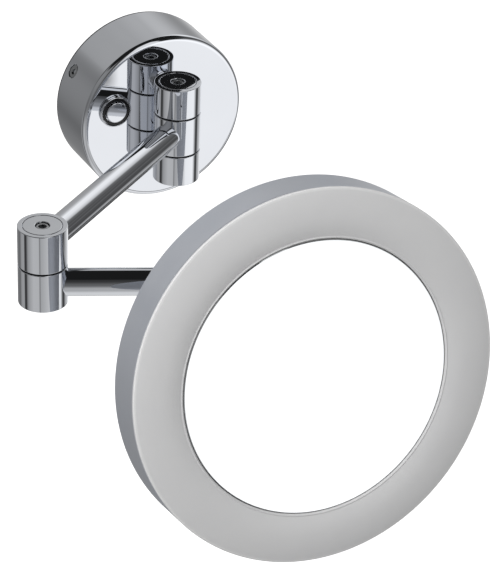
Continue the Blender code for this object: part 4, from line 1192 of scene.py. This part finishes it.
# ----------------------------------------------------------------- tilt joint
@dataclass
class TiltJoint:
    """The bracket on the head's back, its cross pin and its three screws."""

    foot_radius: float = 20.0
    foot_low: float = 11.2
    foot_high: float = 13.7
    ear_middle: float = 6.9
    ear_width: float = 4.0
    eye_radius: float = 7.5
    screw_circle: float = 15.0

    def foot(self, seat: Seat) -> bpy.types.Object:
        """The bracket's round foot.

        Args:
            seat: where it sits.

        Returns:
            The piece.
        """
        profile = soften(
            [(0.0, self.foot_low), (self.foot_radius, self.foot_low),
             (self.foot_radius, self.foot_high), (0.0, self.foot_high)],
            [0.0, 0.9, 0.2, 0.0],
            5,
        )
        shape = grid_of(turned(profile, 144))
        return make_piece("bracket_foot", shape, seat, CHROME, "head", ("tilt_bracket",))

    def ear(self, seat: Seat, side: str, sign: int) -> bpy.types.Object:
        """One ear: a flat bar that widens to a round end on the tilt axis.

        Its half width in the head's Y is 5.5 up to the eye, then follows the
        circle sqrt(R^2 - z^2); its thickness is constant.

        Args:
            seat: where it sits.
            side: its name, left or right.
            sign: -1 on the left and 1 on the right.

        Returns:
            The piece.
        """
        bend = math.acos(5.5 / self.eye_radius)
        angles = np.linspace(bend, -math.pi / 2, 28)
        along = np.concatenate([[self.foot_low + 0.6, self.foot_low - 0.4],
                                self.eye_radius * np.sin(angles)])
        straight = along > self.eye_radius * math.sin(bend)
        round_end = np.sqrt(np.maximum(self.eye_radius**2 - along**2, TIP**2))
        depth = np.where(straight, 5.5, round_end)
        width = np.full(len(along), self.ear_width / 2)
        rows = lofted(along, width, depth, np.full(len(along), 10.0), 96)
        place = seat.moved((sign * self.ear_middle, 0.0, 0.0))
        shape = grid_of(capped(rows))
        return make_piece(f"bracket_ear_{side}", shape, place, CHROME, "head", ("tilt_bracket",))

    def pin(self, seat: Seat) -> bpy.types.Object:
        """The cross pin, with a low domed head.

        Args:
            seat: where it sits.

        Returns:
            The piece.
        """
        outside, tip = 9.2, -12.7
        dome = np.linspace(0, 1, 8)[:, None] * np.array([[3.9, 0.0]])
        dome[:, 1] = outside + 3.0 - 0.5 * (dome[:, 0] / 4.5) ** 2
        rest = soften(
            [tuple(dome[-1]), (4.5, outside + 2.2), (4.5, outside), (2.7, outside), (2.7, tip),
             (0.0, tip)],
            [0.0, 0.3, 0.15, 0.1, 0.4, 0.0],
            4,
        )
        profile = np.concatenate([dome[:-1], rest])
        place = seat.turned((1, 2, 0), (1, 1, 1))
        shape = grid_of(turned(profile, 96))
        return make_piece("tilt_cross_pin", shape, place, STAINLESS, "head", ("tilt_pin",))

    def build(self, places: Places) -> int:
        """Make the bracket, its pin and its screws and return how many there are.

        Args:
            places: the seats of the pivots.

        Returns:
            How many pieces were made.
        """
        seat = places.head
        self.foot(seat)
        self.ear(seat, "left", -1)
        self.ear(seat, "right", 1)
        self.pin(seat)
        away = seat.turned((0, 1, 2), (-1, 1, -1))
        for number in range(3):
            angle = TURN / 4 + TURN * number / 3
            x, y = self.screw_circle * math.cos(angle), self.screw_circle * math.sin(angle)
            place = away.moved((-x, y, -8.9))
            screw = SocketScrew(3.6, 2.0, 2.0, 9.9, 2.0, 1.2, 0.5)
            name = f"foot_screw_{number + 1}"
            node = f"bracket_screw_{number + 1}"
            make_piece(name, screw.grid(48), place, STAINLESS, "head", (node,))
        return 7


# ----------------------------------------------------------------------- head
@dataclass
class Head:
    """The satin housing, the opal ring, the seal and the hollow mirror."""

    radius: float = 100.95
    back: float = 14.0
    thickness: float = 26.0
    edge: float = 1.5
    wall: float = 1.5
    mirror_radius: float = 73.7
    mirror_thickness: float = 3.2
    mirror_curve: float = 1000.0
    crown_rise: float = 1.7
    crown_share: float = 0.43  # where the crown's top is, from the inner edge to the outer
    skin: float = 2.5
    skirt: float = 9.0
    flange: float = 1.6
    lip_gap: float = 0.4
    lip: float = 1.1
    bead_rise: float = 0.4
    bead_width: float = 0.4
    around: int = 288

    def housing(self, seat: Seat) -> bpy.types.Object:
        """The spun cup, open to the front, with a rounded back edge.

        Args:
            seat: where it sits.

        Returns:
            The piece.
        """
        inner, inside = self.radius - self.wall, self.back + self.wall
        front = self.front - self.flange - 0.3
        profile = soften(
            [(0.0, inside), (inner, inside), (inner, front), (self.radius, front),
             (self.radius, self.back), (0.0, self.back)],
            [0.0, 0.6, 0.3, 0.45, self.edge, 0.0],
            6,
        )
        shape = grid_of(turned(profile, self.around))
        return make_piece("spun_housing", shape, seat, SATIN_ALUMINIUM, "head", ("head_housing",))

    @property
    def front(self) -> float:
        """Height of the housing's rim above the tilt axis."""
        return self.back + self.thickness

    def sag(self, radius: np.ndarray) -> np.ndarray:
        """Depth of the hollow at a radius: C - sqrt(C^2 - r^2)."""
        return self.mirror_curve - np.sqrt(self.mirror_curve**2 - radius**2)

    def crown(self, radii: np.ndarray) -> np.ndarray:
        """Height of the opal ring's front at some radii.

        z = front + rise (1 - s^2) + bead exp(-((r - b) / w)^2), where s runs
        from 0 at the crown's circle to 1 at either edge, and b is the middle
        of the small bead round the glass.

        Args:
            radii: the radii.

        Returns:
            The heights, of the same shape.
        """
        first, last = self.mirror_radius + self.lip_gap, self.radius
        middle = first + self.crown_share * (last - first)
        share = (radii - middle) / (np.where(radii < middle, first, last) - middle)
        bead = np.exp(-(((radii - first - 0.75) / self.bead_width) ** 2))
        return self.front + self.crown_rise * (1 - share**2) + self.bead_rise * bead

    def ring(self, seat: Seat) -> bpy.types.Object:
        """The opal ring: its crown, its flange on the housing and its skirts.

        Args:
            seat: where it sits.

        Returns:
            The piece.
        """
        first, last = self.mirror_radius + self.lip_gap, self.radius
        inner, outer = self.mirror_radius + 1.2, self.radius - self.wall - 0.3
        radii = np.concatenate([np.linspace(first + 0.25, 77, 16), np.linspace(78, last - 1.4, 30)])
        crown = np.stack([radii, self.crown(radii)], axis=1)
        edge = float(self.crown(np.array(last)))
        low, ceiling = self.front - self.skirt, self.front - self.skin
        corners = [
            tuple(crown[-2]), (last, edge), (last, self.front - self.flange),
            (outer, self.front - self.flange), (outer, low), (outer - self.skin, low),
            (outer - self.skin, ceiling), (inner + self.skin, ceiling), (inner + self.skin, low),
            (inner, low), (inner, self.front - self.lip), (first, self.front - self.lip),
            (first, self.front), tuple(crown[1]),
        ]
        softness = [0, 0.6, 0.25, 0.1, 0.3, 0.3, 0.6, 0.6, 0.3, 0.3, 0.1, 0.1, 0.12, 0]
        rest = soften(corners, softness, 5)[1:-1]
        profile = np.concatenate([crown[1:-1], rest, crown[1:2]])
        shape = grid_of(turned(profile, self.around))
        return make_piece("opal_ring", shape, seat, OPAL, "head", ("diffuser_ring",))

    def seal(self, seat: Seat) -> bpy.types.Object:
        """The thin black ring round the glass.

        Args:
            seat: where it sits.

        Returns:
            The piece.
        """
        high = self.front - 1.4
        inner, outer = self.mirror_radius + 0.3, self.mirror_radius + 0.9
        profile = soften(
            [(outer, high), (outer, high - 6), (inner, high - 6), (inner, high)], 0.15, 3, True
        )
        shape = grid_of(turned(profile, self.around))
        return make_piece("glass_seal", shape, seat, RUBBER, "head", ("mirror_seal",))

    def glass(self, seat: Seat) -> bpy.types.Object:
        """The mirror: a spherical hollow in front, the same curve behind.

        Args:
            seat: where it sits.

        Returns:
            The piece.
        """
        rim = self.mirror_radius
        radii = np.linspace(0, rim - 0.45, 40)
        base = self.front - self.sag(np.array(rim))
        face = np.stack([radii, base + self.sag(radii)], axis=1)
        back = np.stack([radii[::-1], base + self.sag(radii[::-1]) - self.mirror_thickness], axis=1)
        edge = soften(
            [tuple(face[-1]), (rim, self.front - 0.4), (rim, self.front - self.mirror_thickness),
             tuple(back[0])],
            [0.0, 0.12, 0.3, 0.0],
            4,
        )
        profile = np.concatenate([face[:-1], edge, back[1:]])
        shape = grid_of(turned(profile, self.around))
        return make_piece("hollow_mirror", shape, seat, SILVERED_GLASS, "head", ("mirror_glass",))

    def build(self, places: Places) -> int:
        """Make the head's pieces and return how many there are.

        Args:
            places: the seats of the pivots.

        Returns:
            How many pieces were made.
        """
        self.housing(places.head)
        self.ring(places.head)
        self.seal(places.head)
        self.glass(places.head)
        return 4


# --------------------------------------------------------------------- studio
@dataclass(frozen=True)
class Card:
    """One panel of the studio, by its bearing and height as seen from the object.

    A bearing of 0 is straight out from the wall and 90 is to the right, in
    degrees; a panel's edges fade over its softness.
    """

    bearing: float
    height: float
    half_width: float
    half_height: float
    brightness: float
    softness: float = 2.0


@dataclass(frozen=True)
class Band:
    """The room's walls at one height: brightness by bearing, in degrees."""

    height: float
    stops: tuple[tuple[float, float], ...]


LOW_BAND = Band(
    -30,
    (
        (-180, 0.22), (-167, 0.20), (-154, 0.15), (-145, 0.18), (-137, 0.34), (-118, 0.38),
        (-114, 0.08), (-110, 0.04), (-103, 0.05), (-100, 0.20), (-92, 0.36), (-67, 0.53),
        (-42, 0.52), (-37, 0.20), (-33, 0.42), (-10, 0.52), (5, 0.60), (14, 0.80), (20, 1.00),
        (60, 1.05), (70, 0.50), (77, 0.07), (90, 0.06), (94, 0.36), (104, 0.50), (114, 0.60),
        (124, 0.92), (134, 1.05), (146, 0.80), (152, 0.45), (165, 0.28), (180, 0.22),
    ),
)
MIDDLE_BAND = Band(
    0,
    (
        (-180, 0.38), (-160, 0.34), (-145, 0.25), (-107, 0.14), (-69, 0.22), (-32, 0.10),
        (-12, 0.20), (2, 1.00), (20, 1.25), (45, 1.25), (62, 1.00), (76, 0.10), (90, 0.09),
        (100, 0.30), (130, 0.45), (150, 0.24), (158, 0.22), (166, 0.36), (180, 0.36),
    ),
)
HIGH_BAND = Band(
    35,
    (
        (-180, 0.42), (-170, 0.40), (-152, 0.40), (-146, 0.08), (-128, 0.08), (-120, 0.27),
        (-36, 0.24), (-30, 0.03), (-16, 0.05), (-8, 0.60), (10, 0.80), (22, 0.70), (26, 0.02),
        (50, 0.04), (70, 0.07), (90, 0.10), (98, 0.16), (104, 0.62), (112, 0.80), (122, 0.98),
        (140, 1.02), (150, 0.72), (157, 0.50), (173, 0.42), (180, 0.42),
    ),
)

CEILING = 0.012
GROUND = 0.75

CARDS: tuple[Card, ...] = (
    Card(6, 49, 18, 17, 0.85, 4),  # high panel in front
    Card(32, 28, 9, 10, 0.012, 2),  # black flag above the main softbox
    Card(17, -23.6, 8.1, 3.0, 0.28, 0.2),  # shaded edge of the low front softbox
    Card(32, -37.5, 24, 7, 0.32, 1),  # shaded foot of the softbox, seen in the elbow
    Card(122, -43, 24, 9.5, 0.06, 1),  # dark floor edge with two light strips, seen in arm 1
    Card(113, -40, 1.5, 6, 0.42, 0.7),
    Card(128, -40, 1.2, 6, 0.32, 0.6),
    Card(86, 1, 8, 2, 0.14, 1),  # two thin strips on the black flag at the right
    Card(86, 15, 8, 2, 0.12, 1),
)


@dataclass
class Studio:
    """The floor, the light, the reflected room and the camera."""

    floor_height: float = -1.2
    floor_half: float = 12.0
    room_light: float = 0.44
    lens: float = 164.3

    def floor(self) -> None:
        """A plain pale floor, at the height of a real room's under the mirror."""
        half = self.floor_half
        corners = np.array([(-1, -1), (1, -1), (1, 1), (-1, 1)]) * half
        points = np.column_stack([corners, np.full(4, self.floor_height)])
        mesh = bpy.data.meshes.new("studio_floor")
        mesh.from_pydata(points.tolist(), [], [(0, 1, 2, 3)])
        floor = bpy.data.objects.new("studio_floor", mesh)
        bpy.context.scene.collection.objects.link(floor)
        floor.visible_glossy = False
        floor.visible_diffuse = False
        paint = bpy.data.materials.new("pale_studio_floor")
        paint.use_nodes = True
        shader = paint.node_tree.nodes["Principled BSDF"]
        shader.inputs["Base Color"].default_value = linear("F4F4F4")
        shader.inputs["Roughness"].default_value = 0.9
        shader.inputs["Emission Color"].default_value = linear("FFFFFF")
        shader.inputs["Emission Strength"].default_value = 0.7
        mesh.materials.append(paint)

    def lamp(self, name: str, place: tuple[float, float, float], size: float, power: float) -> None:
        """A square soft light that faces the object and shows in no reflection.

        Args:
            name: its name.
            place: where it stands, in metres.
            size: its side, in metres.
            power: its power in watts.
        """
        data = bpy.data.lights.new(name, "AREA")
        data.size = size
        data.energy = power
        lamp = bpy.data.objects.new(name, data)
        bpy.context.scene.collection.objects.link(lamp)
        lamp.visible_glossy = False
        aim = Matrix.Translation(place).to_translation()
        target = Matrix.Translation((0.0, -0.15, -0.05)).to_translation()
        lamp.rotation_mode = "QUATERNION"
        lamp.rotation_quaternion = (target - aim).to_track_quat("-Z", "Y")
        lamp.location = place

    def room(self) -> None:
        """The room: white to the camera, even to matt surfaces, cards to gloss.

        Polished metal shows what stands round it, so glossy rays meet a room
        of pale walls, softboxes and black flags, laid out by bearing and
        height. Each card's share is a product of two soft steps.
        """
        world = bpy.data.worlds.new("studio_room")
        bpy.context.scene.world = world
        world.use_nodes = True
        tree = world.node_tree
        tree.nodes.clear()
        way = add_node(tree, "ShaderNodeTexCoord").outputs["Generated"]
        parts = add_node(tree, "ShaderNodeSeparateXYZ", inputs={0: way})
        out = add_node(
            tree, "ShaderNodeMath", {"operation": "MULTIPLY"}, {0: parts.outputs["Y"], 1: -1.0}
        )
        bearing = self.degrees(tree, "ARCTAN2", parts.outputs["X"], out.outputs[0])
        height = self.degrees(tree, "ARCSINE", parts.outputs["Z"], None)
        light = self.wall(tree, LOW_BAND, bearing)
        for band in (MIDDLE_BAND, HIGH_BAND):
            above = self.wall(tree, band, bearing)
            low = LOW_BAND.height if band is MIDDLE_BAND else MIDDLE_BAND.height
            light = self.rise(tree, height, (low, band.height), light, above)
        light = self.rise(tree, height, (40.0, 50.0), light, CEILING)
        light = self.rise(tree, height, (-45.0, -75.0), light, GROUND)
        for card in CARDS:
            light = self.card(tree, card, bearing, height, light)
        paths = add_node(tree, "ShaderNodeLightPath")
        matt = add_node(
            tree,
            "ShaderNodeMix",
            {"data_type": "RGBA"},
            {
                "Factor": paths.outputs["Is Glossy Ray"],
                "A": (self.room_light, self.room_light, self.room_light, 1.0),
                "B": light,
            },
        )
        seen = add_node(
            tree,
            "ShaderNodeMix",
            {"data_type": "RGBA"},
            {
                "Factor": paths.outputs["Is Camera Ray"],
                "A": matt.outputs["Result"],
                "B": (1.0, 1.0, 1.0, 1.0),
            },
        )
        glow = add_node(tree, "ShaderNodeBackground", inputs={"Color": seen.outputs["Result"]})
        add_node(tree, "ShaderNodeOutputWorld", inputs={"Surface": glow.outputs[0]})

    def wall(
        self, tree: bpy.types.NodeTree, band: Band, bearing: bpy.types.NodeSocket
    ) -> bpy.types.NodeSocket:
        """Return the light of one band of the walls.

        Args:
            tree: the room's node tree.
            band: the band.
            bearing: the direction's bearing.

        Returns:
            The socket that carries its brightness.
        """
        turn = add_node(
            tree,
            "ShaderNodeMapRange",
            inputs={"Value": bearing, "From Min": -180.0, "From Max": 180.0},
        )
        ramp = add_node(tree, "ShaderNodeValToRGB", inputs={0: turn.outputs["Result"]})
        stops = ramp.color_ramp.elements
        for degrees, value in band.stops[1:-1]:
            stops.new((degrees + 180) / 360).color = (value, value, value, 1.0)
        for stop, (_, value) in ((stops[0], band.stops[0]), (stops[-1], band.stops[-1])):
            stop.color = (value, value, value, 1.0)
        return ramp.outputs["Color"]

    def rise(
        self,
        tree: bpy.types.NodeTree,
        height: bpy.types.NodeSocket,
        span: tuple[float, float],
        first: bpy.types.NodeSocket,
        second: bpy.types.NodeSocket | float,
    ) -> bpy.types.NodeSocket:
        """Pass from one light to another over a span of heights.

        Args:
            tree: the room's node tree.
            height: the direction's height.
            span: the heights where the change starts and ends.
            first: the light at its start.
            second: the light at its end.

        Returns:
            The mixed light.
        """
        share = add_node(
            tree,
            "ShaderNodeMapRange",
            {"interpolation_type": "SMOOTHSTEP"},
            {"Value": height, "From Min": span[0], "From Max": span[1]},
        )
        end = (second, second, second, 1.0) if isinstance(second, float) else second
        mixed = add_node(
            tree,
            "ShaderNodeMix",
            {"data_type": "RGBA"},
            {"Factor": share.outputs["Result"], "A": first, "B": end},
        )
        return mixed.outputs["Result"]

    def degrees(
        self,
        tree: bpy.types.NodeTree,
        operation: str,
        first: bpy.types.NodeSocket,
        second: bpy.types.NodeSocket | None,
    ) -> bpy.types.NodeSocket:
        """Take an inverse function of one or two sockets, in degrees.

        Args:
            tree: the room's node tree.
            operation: the inverse function.
            first: its first value.
            second: its second value, if it has one.

        Returns:
            The angle's socket.
        """
        inputs = {0: first} if second is None else {0: first, 1: second}
        angle = add_node(tree, "ShaderNodeMath", {"operation": operation}, inputs)
        scaled = {0: angle.outputs[0], 1: math.degrees(1)}
        return add_node(tree, "ShaderNodeMath", {"operation": "MULTIPLY"}, scaled).outputs[0]

    def card(
        self,
        tree: bpy.types.NodeTree,
        card: Card,
        bearing: bpy.types.NodeSocket,
        height: bpy.types.NodeSocket,
        behind: bpy.types.NodeSocket,
    ) -> bpy.types.NodeSocket:
        """Lay one card over the room.

        Args:
            tree: the room's node tree.
            card: the card.
            bearing: the direction's bearing.
            height: its height.
            behind: the light of what is behind the card.

        Returns:
            The light with the card in front.
        """
        shares = []
        rows = (
            (bearing, card.bearing, card.half_width),
            (height, card.height, card.half_height),
        )
        for value, middle, half in rows:
            off = add_node(
                tree, "ShaderNodeMath", {"operation": "SUBTRACT"}, {0: value, 1: middle}
            )
            wrapped = add_node(
                tree,
                "ShaderNodeMath",
                {"operation": "WRAP"},
                {0: off.outputs[0], 1: 180.0, 2: -180.0},
            )
            away = add_node(
                tree, "ShaderNodeMath", {"operation": "ABSOLUTE"}, {0: wrapped.outputs[0]}
            )
            step = add_node(
                tree,
                "ShaderNodeMapRange",
                {"interpolation_type": "SMOOTHSTEP"},
                {
                    "Value": away.outputs[0],
                    "From Min": half - card.softness,
                    "From Max": half + card.softness,
                    "To Min": 1.0,
                    "To Max": 0.0,
                },
            )
            shares.append(step.outputs["Result"])
        both = add_node(
            tree, "ShaderNodeMath", {"operation": "MULTIPLY"}, {0: shares[0], 1: shares[1]}
        )
        level = (card.brightness, card.brightness, card.brightness, 1.0)
        laid = add_node(
            tree,
            "ShaderNodeMix",
            {"data_type": "RGBA"},
            {"Factor": both.outputs[0], "A": behind, "B": level},
        )
        return laid.outputs["Result"]

    def camera(self) -> None:
        """The camera: high to the left of the mirror, looking down at its front."""
        bearing, height, roll = (math.radians(x) for x in (-28.63, 30.84, 2.14))
        target = np.array([49.25, -60.0, -113.29]) * MM
        distance = 1576.48 * MM
        back = np.array(
            [math.sin(bearing) * math.cos(height), -math.cos(bearing) * math.cos(height),
             math.sin(height)]
        )
        level = np.array([math.cos(bearing), math.sin(bearing), 0.0])
        over = np.cross(back, level)
        right = level * math.cos(roll) + over * math.sin(roll)
        up = over * math.cos(roll) - level * math.sin(roll)
        place = target + back * distance
        data = bpy.data.cameras.new("camera")
        data.lens = self.lens
        data.sensor_width = 36.0
        data.shift_x = -0.0025
        data.shift_y = -0.0051
        camera = bpy.data.objects.new("camera", data)
        bpy.context.scene.collection.objects.link(camera)
        turn = Matrix((right, up, back)).transposed().to_4x4()
        camera.matrix_world = Matrix.Translation(place) @ turn
        bpy.context.scene.camera = camera

    def build(self) -> None:
        """Set up the whole studio."""
        self.floor()
        self.lamp("key_light", (-1.5, -0.95, 1.65), 0.9, 58.0)
        self.room()
        self.camera()
        bpy.context.scene.view_settings.view_transform = "Standard"


# ------------------------------------------------------------------- assembly
@dataclass
class ShavingMirror:
    """The whole object, in the order in which a maker would put it together."""

    base: Base = field(default_factory=Base)
    pivots: Pivots = field(default_factory=Pivots)
    arms: Arms = field(default_factory=Arms)
    tilt_joint: TiltJoint = field(default_factory=TiltJoint)
    head: Head = field(default_factory=Head)

    def build(self, places: Places) -> None:
        """Make every piece and report each sub-assembly.

        Args:
            places: the seats of the pivots.
        """
        for part in (self.base, self.pivots, self.arms, self.tilt_joint, self.head):
            made = part.build(places)
            LOG.info("%s: %d pieces in all", type(part).__name__, made)


def main() -> None:
    """Load the frame, build and dress the object, and set up the studio."""
    logging.basicConfig(level=logging.INFO, format="%(name)s: %(message)s")
    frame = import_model()
    places = find_places(frame["joints"])
    ShavingMirror().build(places)
    LOG.info("solids that keep their shape: %d", dress_plain_nodes(frame["nodes"]))
    Studio().build()


if __name__ == "__main__":
    main()
